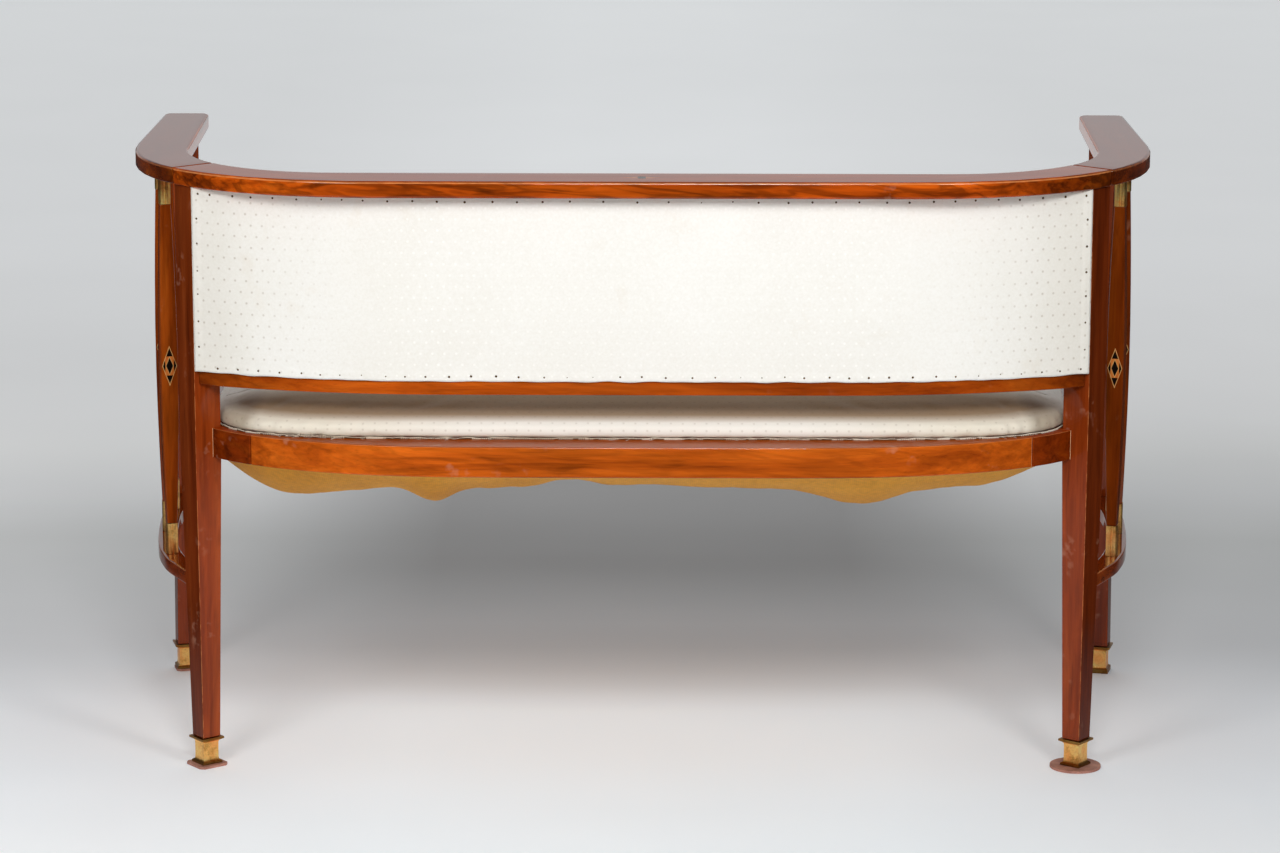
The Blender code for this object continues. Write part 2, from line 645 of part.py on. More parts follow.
def build_side_rail(name, side, notch, parts, mats):
    """Side seat rail, notched round the front post."""
    outer = frame_curve(0.0)[FRAME_SIDE_STEP:]
    inner = frame_curve(FRAME_RAIL_WIDTH)[FRAME_SIDE_STEP:]
    outer[0], inner[0] = shifted(outer[0], inner[0], -FIT)
    end = [(FRAME_FRONT_X, FRAME_FRONT_Y), (frame_side_inner_x(FRAME_FRONT_Y), FRAME_FRONT_Y)]
    rail = prism(name, sided(outer + end + inner[::-1], side), SEAT_RAIL_BOTTOM, SEAT_RAIL_TOP,
                 parts, mats["dark_wood"], FRAME_ARRIS)
    cut(rail, notch)


def build_front_rail(parts, mats):
    """Straight front seat rail between the side rails."""
    rear_y = FRAME_FRONT_Y + FRAME_RAIL_WIDTH
    half = [(frame_side_inner_x(rear_y) - FIT, rear_y),
            (frame_side_inner_x(FRAME_FRONT_Y) - FIT, FRAME_FRONT_Y)]
    prism("seat_rail_front", half + mirrored(half)[::-1], SEAT_RAIL_BOTTOM, SEAT_RAIL_TOP,
          parts, mats["dark_wood"], FRAME_ARRIS)


def build_corner_blocks(parts, mats):
    """Glued blocks inside the four corners of the seat frame."""
    top = SEAT_RAIL_TOP - WEBBING_THICKNESS - 2.0 * FIT
    curve = frame_curve(FRAME_RAIL_WIDTH + FIT)[BLOCK_FIRST_STEP:BLOCK_LAST_STEP + 1]
    rear_y = FRAME_FRONT_Y + FRAME_RAIL_WIDTH + FIT
    corner = (frame_side_inner_x(rear_y) - FIT, rear_y)
    behind = (frame_side_inner_x(rear_y + BLOCK_SIDE) - FIT, rear_y + BLOCK_SIDE)
    front = [corner, behind, (corner[0] - BLOCK_SIDE, rear_y)]
    for side, hand in ((1, "right"), (-1, "left")):
        prism(f"corner_block_rear_{hand}", sided(curve, side), BLOCK_BOTTOM, top, parts,
              mats["hidden_wood"])
        prism(f"corner_block_front_{hand}", sided(front, side), BLOCK_BOTTOM, top, parts,
              mats["hidden_wood"])


def build_webbing(parts, mats):
    """Webbing panel inside the seat frame, flush with its top."""
    curve = frame_curve(FRAME_RAIL_WIDTH + FIT)
    rear_y = FRAME_FRONT_Y + FRAME_RAIL_WIDTH + FIT
    half = curve + [(frame_side_inner_x(rear_y) - FIT, rear_y)]
    top = SEAT_RAIL_TOP - FIT
    prism("seat_webbing", half + mirrored(half)[::-1], top - WEBBING_THICKNESS, top, parts,
          mats["webbing"])


def build_seat_frame(notches, parts, mats):
    """Rails, blocks and webbing of the seat."""
    build_rear_rail(parts, mats)
    for side, hand in ((1, "right"), (-1, "left")):
        build_corner_rail(f"seat_rail_corner_{hand}", side, notches["rear", side], parts, mats)
        build_side_rail(f"seat_rail_side_{hand}", side, notches["front", side], parts, mats)
    build_front_rail(parts, mats)
    build_corner_blocks(parts, mats)
    build_webbing(parts, mats)


# Upholstered seat and cloth
def seat_ring(inset):
    """Plan of the seat cushion moved inwards."""
    rear = corner_curve(FRAME_CORNER_X, FRAME_CORNER_Y,
                        SEAT_HALF_WIDTH - FRAME_CORNER_X - inset,
                        SEAT_BACK_Y - FRAME_CORNER_Y - inset, SEAT_CORNER_POWER, 11)
    front_x = SEAT_FRONT_HALF_WIDTH - inset
    front_y = SEAT_FRONT_Y + inset
    radius = SEAT_FRONT_CORNER_RADIUS
    half = list(rear)
    half.append((0.5 * (rear[-1][0] + front_x), 0.5 * (FRAME_CORNER_Y + front_y + radius)))
    for i in range(5):
        angle = 0.5 * math.pi * i / 4
        half.append((front_x - radius * (1.0 - math.cos(angle)),
                     front_y + radius * (1.0 - math.sin(angle))))
    half.append((0.5 * (front_x - radius), front_y))
    return half + mirrored(half)[::-1]


def build_seat_cushion(parts, mats):
    """Fixed stuffed seat: drawn in at the tacked edge, swelling sides and a low crown."""
    loops = []
    for inset_share, height_share in SEAT_RING_SHARES:
        inset = inset_share * CUSHION_HEIGHT
        height = SEAT_RAIL_TOP + height_share * CUSHION_HEIGHT
        loops.append([(x, y, height) for x, y in seat_ring(inset)])
    loft("seat_cushion", loops, parts, mats["fabric"])


def cloth_half_width(y):
    """Half the width of the cloth at a place from front to back."""
    if y <= FRAME_CORNER_Y:
        share = (FRAME_CORNER_Y - y) / (FRAME_CORNER_Y - FRAME_FRONT_Y)
        outer = FRAME_HALF_WIDTH + (FRAME_FRONT_X - FRAME_HALF_WIDTH) * share
        return outer - CLOTH_SIDE_INSET
    reach_y = FRAME_BACK_Y - FRAME_CORNER_Y - CLOTH_EDGE_INSET
    share = min((y - FRAME_CORNER_Y) / reach_y, 1.0)
    swing = max(1.0 - share ** FRAME_CORNER_POWER, 0.0) ** (1.0 / FRAME_CORNER_POWER)
    return FRAME_CORNER_X + (FRAME_HALF_WIDTH - FRAME_CORNER_X - CLOTH_SIDE_INSET) * swing


def cloth_height(x, y):
    """Height of the cloth's underside: a general sag with deeper folds."""
    sag = CLOTH_SAG
    for place, reach, extra in CLOTH_FOLD_SHARES:
        distance = (x - place * FRAME_HALF_WIDTH) / (reach * FRAME_HALF_WIDTH)
        sag += CLOTH_SAG * extra * math.exp(-distance * distance)
    front_y = FRAME_FRONT_Y + CLOTH_EDGE_INSET
    depth = FRAME_BACK_Y - CLOTH_EDGE_INSET - front_y
    place = ((y - front_y) / depth - 0.5) / CLOTH_SAG_REACH_SHARE
    across = 1.0 - abs(place) ** 3
    along = 1.0 - (abs(x) / cloth_half_width(y)) ** 5
    share = max(across, 0.0) * max(along, 0.0)
    return SEAT_RAIL_BOTTOM - 2.0 * FIT - sag * share


def build_under_seat_cloth(parts, mats):
    """Loose cloth tacked under the frame, sagging with uneven folds."""
    front_y = FRAME_FRONT_Y + CLOTH_EDGE_INSET
    back_y = FRAME_BACK_Y - CLOTH_EDGE_INSET
    bm = bmesh.new()
    rows = []
    for row_share in CLOTH_ROW_SHARES:
        y = front_y + (back_y - front_y) * row_share
        half = cloth_half_width(y)
        row = []
        for i in range(CLOTH_COLUMNS + 1):
            x = half * (2.0 * i / CLOTH_COLUMNS - 1.0)
            row.append(bm.verts.new((x, y, cloth_height(x, y))))
        rows.append(row)
    for near, far in zip(rows, rows[1:]):
        for i in range(CLOTH_COLUMNS):
            bm.faces.new((near[i], far[i], far[i + 1], near[i + 1]))
    mesh = bpy.data.meshes.new("under_seat_cloth")
    bm.to_mesh(mesh)
    bm.free()
    cloth = new_object("under_seat_cloth", mesh, parts, mats["base_cloth"])
    solidify = cloth.modifiers.new("thickness", "SOLIDIFY")
    solidify.thickness = CLOTH_THICKNESS
    solidify.offset = 1.0
    solidify.use_even_offset = False


# Sides
def side_place(across_share, along_share):
    """A place beside the right-hand posts, given by its two shares."""
    return (REAR_POST_X + (HALF_WIDTH - REAR_POST_X) * across_share,
            REAR_POST_Y + (FRONT_POST_Y - REAR_POST_Y) * along_share)


def stretcher_path():
    """Outer edge of the right-hand stretcher."""
    return [side_place(*shares) for shares in STRETCHER_PATH_SHARES]


def leg_half_at(z):
    """Half the side of a tapered leg at a height."""
    share = (z - SABOT_TOP) / (SEAT_RAIL_BOTTOM - SABOT_TOP)
    return 0.5 * (LEG_FOOT_SIDE + (POST_SIDE - LEG_FOOT_SIDE) * share)


def leg_x_at(z):
    """Place across the settee of a front leg's middle at a height."""
    share = (z - SABOT_TOP) / (SEAT_RAIL_BOTTOM - SABOT_TOP)
    return FRONT_FOOT_X + (FRONT_POST_X - FRONT_FOOT_X) * share


def build_stretcher(name, side, parts, mats):
    """Flat bowed stretcher between the legs of one side, with the slats standing on it."""
    half = leg_half_at(STRETCHER_TOP)
    rear = (REAR_POST_X, REAR_POST_Y, REAR_POST_TURN_DEG, half)
    front = (leg_x_at(STRETCHER_BOTTOM), FRONT_POST_Y, FRONT_POST_TURN_DEG, half)
    step = 1.0 + FIT / half
    wide = 2.0 * STRETCHER_WIDTH / (2.0 * half)
    outer = [post_corner(*rear, -0.97, step)] + stretcher_path()[1:-1]
    outer.append(post_corner(*front, -0.93, -step))
    inner = []
    path = outer
    for i in range(1, len(path) - 1):
        dx = path[i + 1][0] - path[i - 1][0]
        dy = path[i + 1][1] - path[i - 1][1]
        length = math.hypot(dx, dy)
        inner.append((path[i][0] + dy / length * STRETCHER_WIDTH,
                      path[i][1] - dx / length * STRETCHER_WIDTH))
    inner = [post_corner(*rear, -0.97 + wide, step)] + inner
    inner.append(post_corner(*front, -0.93 + wide, -step))
    outline = smooth_path(outer) + smooth_path(inner)[::-1]
    prism(name, sided(outline, side), STRETCHER_BOTTOM, STRETCHER_TOP, parts,
          mats["dark_wood"], STRETCHER_ARRIS, 2)


def smooth_path(points, steps=3):
    """Runs a smooth curve through plan points."""
    result = []
    last = len(points) - 1
    for i in range(last):
        before = points[max(i - 1, 0)]
        after = points[min(i + 2, last)]
        start = points[i]
        end = points[i + 1]
        for step in range(steps):
            t = step / steps
            pair = []
            for axis in range(2):
                a = 2.0 * start[axis]
                b = end[axis] - before[axis]
                c = 2.0 * before[axis] - 5.0 * start[axis] + 4.0 * end[axis] - after[axis]
                d = 3.0 * start[axis] - before[axis] - 3.0 * end[axis] + after[axis]
                pair.append(0.5 * (a + b * t + c * t * t + d * t * t * t))
            result.append(tuple(pair))
    result.append(points[-1])
    return result


def make_slat_mesh():
    """Square slat that swells towards its middle, with a tenon at each end."""
    low = STRETCHER_TOP + FIT
    high = TOP_RAIL_BOTTOM - FIT
    body_low = low + FERRULE_HEIGHT + FIT
    body_high = high - FERRULE_HEIGHT - FIT
    levels = [(low, SLAT_TENON_SIDE), (body_low, SLAT_TENON_SIDE)]
    for height_share, swell_share in SLAT_SWELL_SHARES:
        size = SLAT_END_SIDE + (SLAT_MID_SIDE - SLAT_END_SIDE) * swell_share
        levels.append((body_low + (body_high - body_low) * height_share, size))
    levels.append((body_high, SLAT_TENON_SIDE))
    levels.append((high, SLAT_TENON_SIDE))
    bm = bmesh.new()
    rows = []
    for level, size in levels:
        h = 0.5 * size
        loop = [(-h, -h, level), (h, -h, level), (h, h, level), (-h, h, level)]
        rows.append([bm.verts.new(point) for point in loop])
    for lower, upper in zip(rows, rows[1:]):
        for i in range(4):
            j = (i + 1) % 4
            bm.faces.new((lower[i], lower[j], upper[j], upper[i]))
    bm.faces.new(rows[0])
    bm.faces.new(rows[-1])
    return mesh_from_bmesh("slat", bm)


def ferrule_outline():
    """Section of a ferrule: a square with two reeds side by side on each face."""
    half = 0.5 * FERRULE_CORE_SIDE
    radius = 0.5 * half
    points = []
    for quarter in range(4):
        cos = (1, 0, -1, 0)[quarter]
        sin = (0, 1, 0, -1)[quarter]
        face = []
        for centre in (radius, -radius):
            for i in range(6):
                angle = math.pi * i / 6
                face.append((centre + radius * math.cos(angle),
                             half + FERRULE_REED_HEIGHT * math.sin(angle)))
        points += [(x * cos - y * sin, x * sin + y * cos) for x, y in face]
    return points


def make_ferrule_mesh():
    """Brass sleeve with a reeded section and a square hole for the tenon."""
    curve = bpy.data.curves.new("ferrule", "CURVE")
    curve.dimensions = "2D"
    curve.fill_mode = "BOTH"
    curve.extrude = 0.5 * FERRULE_HEIGHT
    h = 0.5 * SLAT_TENON_SIDE + FIT
    hole = [(-h, -h), (-h, h), (h, h), (h, -h)]
    for loop in (ferrule_outline(), hole):
        spline = curve.splines.new("POLY")
        spline.points.add(len(loop) - 1)
        for point, (x, y) in zip(spline.points, loop):
            point.co = (x, y, 0.0, 1.0)
        spline.use_cyclic_u = True
    shape = bpy.data.objects.new("ferrule_shape", curve)
    bpy.context.scene.collection.objects.link(shape)
    bpy.context.view_layer.update()
    graph = bpy.context.evaluated_depsgraph_get()
    mesh = bpy.data.meshes.new_from_object(shape.evaluated_get(graph))
    bpy.data.objects.remove(shape, do_unlink=True)
    bm = bmesh.new()
    bm.from_mesh(mesh)
    bmesh.ops.remove_doubles(bm, verts=bm.verts, dist=0.00001)
    bmesh.ops.recalc_face_normals(bm, faces=bm.faces)
    bm.to_mesh(mesh)
    bm.free()
    return mesh


def make_inlay_mesh(name, length, width, depth):
    """Lozenge plate standing upright, its face towards +Y."""
    bm = bmesh.new()
    shape = lozenge(width, length)
    base = bm.faces.new([bm.verts.new((x, -depth, z)) for x, z in shape])
    lifted = bmesh.ops.extrude_face_region(bm, geom=[base])
    verts = [item for item in lifted["geom"] if isinstance(item, bmesh.types.BMVert)]
    bmesh.ops.translate(bm, verts=verts, vec=(0.0, depth, 0.0))
    return mesh_from_bmesh(name, bm)


def build_side(hand, side, meshes, parts, cutters, mats):
    """Three slats of one side with their ferrules and inlays."""
    middle = 0.5 * (STRETCHER_TOP + TOP_RAIL_BOTTOM)
    low = STRETCHER_TOP + FIT + 0.5 * FERRULE_HEIGHT
    high = TOP_RAIL_BOTTOM - FIT - 0.5 * FERRULE_HEIGHT
    face = 0.5 * SLAT_MID_SIDE
    names = ("rear", "middle", "front")
    for where, shares, turn_deg in zip(names, SLAT_PLACE_SHARES, SLAT_TURNS_DEG):
        x, y = side_place(*shares)
        x *= side
        turn = side * turn_deg
        tag = f"{where}_{hand}"
        slat = new_object(f"slat_{tag}", meshes["slat"], parts, None)
        set_place(slat, x, y, 0.0, turn)
        add_arris(slat, SLAT_ARRIS, 2)
        face_x = x - face * math.sin(turn * TURN)
        face_y = y + face * math.cos(turn * TURN)
        pocket = new_object(f"pocket_{tag}", meshes["pocket"], cutters, None)
        set_place(pocket, face_x, face_y, middle, turn)
        cut(slat, hide_cutter(pocket))
        inlay = new_object(f"slat_inlay_{tag}", meshes["inlay"], parts, None)
        set_place(inlay, face_x, face_y, middle, turn)
        for end, height in (("lower", low), ("upper", high)):
            ferrule = new_object(f"ferrule_{end}_{tag}", meshes["ferrule"], parts, None)
            set_place(ferrule, x, y, height, turn)


def build_sides(parts, cutters, mats):
    """Stretchers, slats, ferrules and inlays of both sides."""
    meshes = {
        "slat": make_slat_mesh(),
        "ferrule": make_ferrule_mesh(),
        "inlay": make_inlay_mesh("slat_inlay", INLAY_LENGTH, INLAY_WIDTH, INLAY_DEPTH),
        "pocket": make_pocket_mesh(),
    }
    meshes["slat"].materials.append(mats["slat_wood"])
    meshes["ferrule"].materials.append(mats["brass"])
    meshes["inlay"].materials.append(mats["marquetry"])
    for side, hand in ((1, "right"), (-1, "left")):
        build_stretcher(f"side_stretcher_{hand}", side, parts, mats)
        build_side(hand, side, meshes, parts, cutters, mats)


def make_pocket_mesh():
    """Shape of the pocket that takes an inlay, a little larger and open at the face."""
    bm = bmesh.new()
    shape = lozenge(INLAY_WIDTH + 2.0 * FIT, INLAY_LENGTH + 2.0 * FIT)
    base = bm.faces.new([bm.verts.new((x, -INLAY_DEPTH - FIT, z)) for x, z in shape])
    lifted = bmesh.ops.extrude_face_region(bm, geom=[base])
    verts = [item for item in lifted["geom"] if isinstance(item, bmesh.types.BMVert)]
    bmesh.ops.translate(bm, verts=verts, vec=(0.0, 2.0 * INLAY_DEPTH + FIT, 0.0))
    return mesh_from_bmesh("pocket", bm)


# Assembly
def build():
    """Builds the whole settee."""
    clear_scene()
    parts = make_collection(COLLECTION_NAME)
    cutters = make_collection("cutters")
    mats = make_materials()
    build_top_rail_back(parts, cutters, mats)
    build_arm_rail("arm_rail_right", 1, parts, mats)
    build_arm_rail("arm_rail_left", -1, parts, mats)
    build_back_cover(parts, mats)
    build_lower_rail(parts, mats)
    build_back_stile("back_stile_right", 1, parts, mats)
    build_back_stile("back_stile_left", -1, parts, mats)
    build_back_pad(parts, mats)
    notches = build_posts_and_feet(parts, cutters, mats)
    build_seat_frame(notches, parts, mats)
    build_seat_cushion(parts, mats)
    build_under_seat_cloth(parts, mats)
    build_sides(parts, cutters, mats)


build()
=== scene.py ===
"""Looks of the two-seat settee: materials, soft goods, tacks, inlay work, floor, light and camera."""

import math
import random

import bmesh
import bpy
from mathutils import Matrix, Vector, noise


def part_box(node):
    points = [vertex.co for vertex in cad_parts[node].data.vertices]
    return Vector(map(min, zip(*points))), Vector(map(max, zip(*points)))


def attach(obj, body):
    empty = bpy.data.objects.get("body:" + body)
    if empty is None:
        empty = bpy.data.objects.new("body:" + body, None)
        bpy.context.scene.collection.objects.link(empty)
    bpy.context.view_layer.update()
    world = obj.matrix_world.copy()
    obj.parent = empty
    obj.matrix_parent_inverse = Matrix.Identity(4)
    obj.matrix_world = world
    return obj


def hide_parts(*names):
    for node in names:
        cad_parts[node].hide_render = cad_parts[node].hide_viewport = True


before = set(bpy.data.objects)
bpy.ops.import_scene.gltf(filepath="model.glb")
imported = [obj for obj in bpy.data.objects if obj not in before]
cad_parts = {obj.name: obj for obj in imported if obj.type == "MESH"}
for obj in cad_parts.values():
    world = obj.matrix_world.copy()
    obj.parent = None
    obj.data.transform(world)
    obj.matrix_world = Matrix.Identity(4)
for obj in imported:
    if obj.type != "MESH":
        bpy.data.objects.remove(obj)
bpy.context.view_layer.update()
DEGREE = math.pi / 180.0

# Places taken from the CAD, in metres
POST_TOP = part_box("top_rail_back")[0].z
COVER_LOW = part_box("outside_back_cover")[0].z
COVER_END_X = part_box("outside_back_cover")[1].x
COVER_BACK_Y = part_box("outside_back_cover")[1].y
COVER_END_Y = 0.2076
COVER_REACH = 0.311
COVER_POWER = 2.2
COVER_THICKNESS = 0.002
LOWER_RAIL_DEPTH = 0.020
SEAT_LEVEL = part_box("seat_rail_rear")[1].z
SEAT_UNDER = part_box("seat_rail_rear")[0].z
FRAME_HALF_WIDTH, FRAME_BACK_Y = 0.565, 0.298
FRAME_FRONT_X, FRAME_FRONT_Y = 0.590, -0.272
FRAME_CORNER = (0.170, 0.040)
FRAME_POWER = 2.35
# Posts and slats: x, y and turn in degrees
REAR_POST = (0.529, 0.180, 38.0)
POST_HALF = 0.018
SABOT_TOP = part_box("rear_sabot_left")[1].z
SLATS = {"rear": (0.57705, 0.08703, 17.0), "middle": (0.59634, -0.03397, 7.0),
         "front": (0.60221, -0.15497, 3.0)}
SLAT_FACE = 0.01025
SLAT_MIDDLE_Z = 0.5 * (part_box("slat_inlay_rear_left")[0].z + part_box("slat_inlay_rear_left")[1].z)


# Node helpers
class Graph:
    """Builds the nodes of one material or world."""

    def __init__(self, owner):
        owner.use_nodes = True
        self.owner = owner
        self.tree = owner.node_tree
        self.tree.nodes.clear()

    def add(self, kind, inputs=None, **settings):
        """Adds a node; inputs are sockets to link or constants to set."""
        node = self.tree.nodes.new(kind)
        for key, value in settings.items():
            setattr(node, key, value)
        for key, value in (inputs or {}).items():
            if isinstance(value, bpy.types.NodeSocket):
                self.tree.links.new(value, node.inputs[key])
            else:
                node.inputs[key].default_value = value
        return node

    def math(self, operation, first, second=0.0, **settings):
        node = self.add("ShaderNodeMath", {0: first, 1: second}, operation=operation, **settings)
        return node.outputs[0]

    def plus(self, first, second):
        return self.math("ADD", first, second)

    def minus(self, first, second):
        return self.math("SUBTRACT", first, second)

    def times(self, first, second):
        return self.math("MULTIPLY", first, second)

    def over(self, first, second):
        return self.math("DIVIDE", first, second)

    def ramp(self, value, stops):
        """Colours or grey levels at places 0 to 1 of a value."""
        node = self.add("ShaderNodeValToRGB", {"Fac": value})
        elements = node.color_ramp.elements
        while len(elements) < len(stops):
            elements.new(0.5)
        for element, (place, color) in zip(elements, stops):
            element.position = place
            element.color = (*color, 1.0) if hasattr(color, "__len__") else (color, color, color, 1.0)
        return node.outputs["Color"]

    def fade(self, value, start, end, first=0.0, last=1.0):
        """One level or colour up to a place, another from a second place on."""
        return self.ramp(value, [(start, first), (end, last)])

    def mix(self, factor, first, second, blend="MIX"):
        node = self.add("ShaderNodeMix", data_type="RGBA", blend_type=blend)
        for index, value in ((0, factor), (6, first), (7, second)):
            if isinstance(value, bpy.types.NodeSocket):
                self.tree.links.new(value, node.inputs[index])
            else:
                node.inputs[index].default_value = value if index == 0 else (*value, 1.0)
        return node.outputs[2]

    def tint(self, color, by, share=1.0):
        """Multiplies a colour by another, wholly or by a share."""
        return self.mix(share, color, by, "MULTIPLY")

    def place(self, scale=1.0, rotation=(0, 0, 0), offset=(0, 0, 0), vector=None):
        """The place in space, or a given vector, scaled, turned and moved."""
        if vector is None:
            vector = self.add("ShaderNodeTexCoord").outputs["Object"]
        if not isinstance(scale, tuple):
            scale = (scale, scale, scale)
        inputs = {"Vector": vector, "Scale": scale, "Rotation": rotation, "Location": offset}
        return self.add("ShaderNodeMapping", inputs).outputs["Vector"]

    def noise(self, scale, detail=3.0, rough=0.5, distortion=0.0, **placing):
        """Noise through space; scale is one number or one for each axis."""
        inputs = {"Vector": self.place(scale, **placing), "Scale": 1.0, "Detail": detail,
                  "Roughness": rough, "Distortion": distortion}
        return self.add("ShaderNodeTexNoise", inputs).outputs["Fac"]

    def axes(self, source="Object"):
        """X, Y and Z of a vector, or of a texture coordinate given by its name."""
        if isinstance(source, str):
            source = self.add("ShaderNodeTexCoord").outputs[source]
        return self.add("ShaderNodeSeparateXYZ", {"Vector": source}).outputs

    def seen(self):
        """1 for the camera's, mirrored and transmitted rays, 0 for light that falls on things."""
        ray = self.add("ShaderNodeLightPath").outputs
        return self.math("MAXIMUM", ray["Is Camera Ray"],
                         self.math("MAXIMUM", ray["Is Glossy Ray"], ray["Is Transmission Ray"]))

    def bump(self, height, strength, distance, normal=None):
        inputs = {"Height": height, "Strength": strength, "Distance": distance}
        if normal is not None:
            inputs["Normal"] = normal
        return self.add("ShaderNodeBump", inputs).outputs["Normal"]

    def finish(self, color, roughness, normal=None, **others):
        """Adds the shader and the output, and returns the finished material."""
        inputs = {key.replace("_", " "): value for key, value in others.items()}
        inputs.update({"Base Color": color, "Roughness": roughness})
        if normal is not None:
            inputs["Normal"] = normal
        shader = self.add("ShaderNodeBsdfPrincipled", inputs)
        self.add("ShaderNodeOutputMaterial", {"Surface": shader.outputs[0]})
        return self.owner


def material_graph(name):
    return Graph(bpy.data.materials.new(name))


def lin(r, g, b):
    """sRGB 0..255 to linear."""
    out = []
    for c in (r, g, b):
        c /= 255.0
        out.append(c / 12.92 if c <= 0.04045 else ((c + 0.055) / 1.055) ** 2.4)
    return tuple(out)


# Materials
TONES_WIDTH = 1.3


def drawn_out(along, length, width):
    """Noise scales of streaks that run along one axis."""
    return tuple(length if axis == along else width for axis in "xyz")


def wood_figure(g, along, deep, middle, light, figure, pores):
    """Streaks, flame figure, bands across, broad shades and fine pores."""
    flame = drawn_out(along, 7, 60)
    streak = g.noise(drawn_out(along, 2.2, 34), 5.0, 0.62, 0.6)
    veins = g.noise(flame, 3.0, 0.55, 1.4, rotation=(0.05, 0.06, 0.08), offset=(5.1, 2.2, 7.3))
    bands = g.noise(flame, 3.0, 0.5, 0.7, vector=g.place(rotation=(0.0, 0.13, 0.04)))
    broad = g.noise(5.2, 2.0, offset=(4.03, 2.21, 0.52))
    color = g.ramp(streak, [(0.28, deep), (0.50, middle), (0.72, light)])
    color = g.tint(color, g.ramp(veins, [(0.30, 0.45), (0.44, 0.95), (0.60, 1.12)]), 0.75 * figure)
    crossing = g.ramp(bands, [(0.36, 1.10), (0.43, 0.60), (0.48, 0.55), (0.53, 1.05), (0.60, 1.22),
                              (0.68, 0.80)])
    color = g.tint(color, crossing, 0.9 if figure > 1.0 else 0.35 * figure)
    color = g.tint(color, g.fade(broad, 0.28, 0.72, 1.0 - 0.24 * figure, 1.0 + 0.14 * figure))
    return g.tint(color, g.fade(pores, 0.30, 0.42, 0.60, 1.0), 0.5)


def wood_scuffs_and_arris_highlight(g, color, facing, arris_rub_and_highlight_axis, arris_rub_and_highlight):
    """Pale scuffs, and arrises rubbed down to lighter wood, which is also a painted highlight along them.
    """
    smudge = g.noise(70, 2.0, offset=(1.3, 4.4, 2.7))
    rare = g.noise(17, 1.0, offset=(8.3, 0.4, 3.7))
    scuff = g.times(g.fade(smudge, 0.56, 0.70), g.fade(rare, 0.60, 0.70, 0.0, 0.30))
    color = g.mix(scuff, color, lin(196, 146, 120))
    patchy = g.noise(60, 3.0, 0.6, offset=(0.7, 9.1, 5.5))
    if arris_rub_and_highlight_axis == "Y":
        arris = g.fade(facing["Y"], 0.84, 0.95)
        patches = g.fade(patchy, 0.42, 0.58, 0.10, 0.85)
    else:
        arris = g.ramp(facing["Z"], [(0.22, 0.0), (0.40, 1.0), (0.62, 1.0), (0.80, 0.0)])
        patches = g.fade(patchy, 0.30, 0.60, 0.35, 0.75)
    # Paler orange on the arrises: worn wood, and a painted highlight of the lamps.
    return g.mix(g.times(g.times(arris, patches), arris_rub_and_highlight), color, lin(226, 144, 84))


def wood(name, deep, middle, light, along, outer=1.0, figure=1.0, top=0.8, coat=0.95, end=1.0,
         tones=None, arris_rub_and_highlight_axis="Z", arris_rub_and_highlight=1.0, raw=False):
    """Polished mahogany: figure, darker end grain, scuffs, worn arrises, and painted shade and highlights.

    along is the grain's axis, outer and top are painted shade, the tones of the faces turned to the
    settee's outside and upwards, end is the strength of the end grain's darkening, partly painted shade,
    tones are (x, tone) pairs along the piece that paint light and shade, arris_rub_and_highlight_axis is
    the axis its worn and highlit arrises face, arris_rub_and_highlight is their strength, and raw wood has
    neither polish nor scuffs."""
    g = material_graph(name)
    facing = g.axes("Normal")
    pores = g.noise(drawn_out(along, 14, 700), 2.0, 0.6)
    color = wood_figure(g, along, deep, middle, light, figure, pores)
    # End grain darker, and with it painted shade where curved ends turn from the lamps.
    across = g.math("ABSOLUTE", facing[along.upper()])
    end_grain_and_shade = g.ramp(across, [(0.05, 1.0), (0.20, 0.93), (0.35, 0.76), (0.56, 0.53), (0.71, 0.40),
                                (1.0, 0.30)])
    color = g.tint(color, end_grain_and_shade, end)
    # Painted shade: upward faces plainer and darker by the top tone.
    upward = g.fade(facing["Z"], 0.80, 0.97)
    color = g.mix(g.times(upward, 0.72), color, middle)
    color = g.tint(color, g.fade(facing["Z"], 0.80, 0.97, 1.0, top))
    # Painted light and shade along the piece, set by its x.
    if tones:
        spread = g.plus(g.over(g.axes()["X"], TONES_WIDTH), 0.5)
        half_tones = g.ramp(spread, [(x / TONES_WIDTH + 0.5, tone) for x, tone in tones])
        toned = g.tint(color, g.tint(half_tones, (2.0, 2.0, 2.0)))
        color = g.mix(upward, toned, g.tint(color, (0.8, 0.8, 0.8)))
    # Painted shade: faces turned to the settee's outside are darker.
    if outer < 1.0:
        away = g.times(facing["X"], g.math("SIGN", g.axes()["X"]))
        color = g.tint(color, g.fade(away, 0.05, 0.25, 1.0, outer))
    if raw:
        rough = g.plus(g.times(pores, 0.10), 0.70)
        return g.finish(color, rough, g.bump(pores, 0.30, 0.0004), Specular_IOR_Level=0.2)
    color = wood_scuffs_and_arris_highlight(g, color, facing, arris_rub_and_highlight_axis, arris_rub_and_highlight)
    rough = g.plus(g.times(g.noise(9), 0.14), 0.24)
    normal = g.bump(g.noise(6, 2.0), 0.10, 0.004, g.bump(pores, 0.10, 0.0003))
    return g.finish(color, rough, normal, Coat_Weight=coat, Coat_Roughness=0.06, Coat_IOR=1.5,
                    Specular_IOR_Level=0.0)


SPOT_PITCH = (0.0140, 0.0133)
SPOT_RADIUS = 0.0013
# Waves per metre of the weave, times two pi
THREADS = (7400.0, 7000.0)
FAR_ROWS = 1000.0


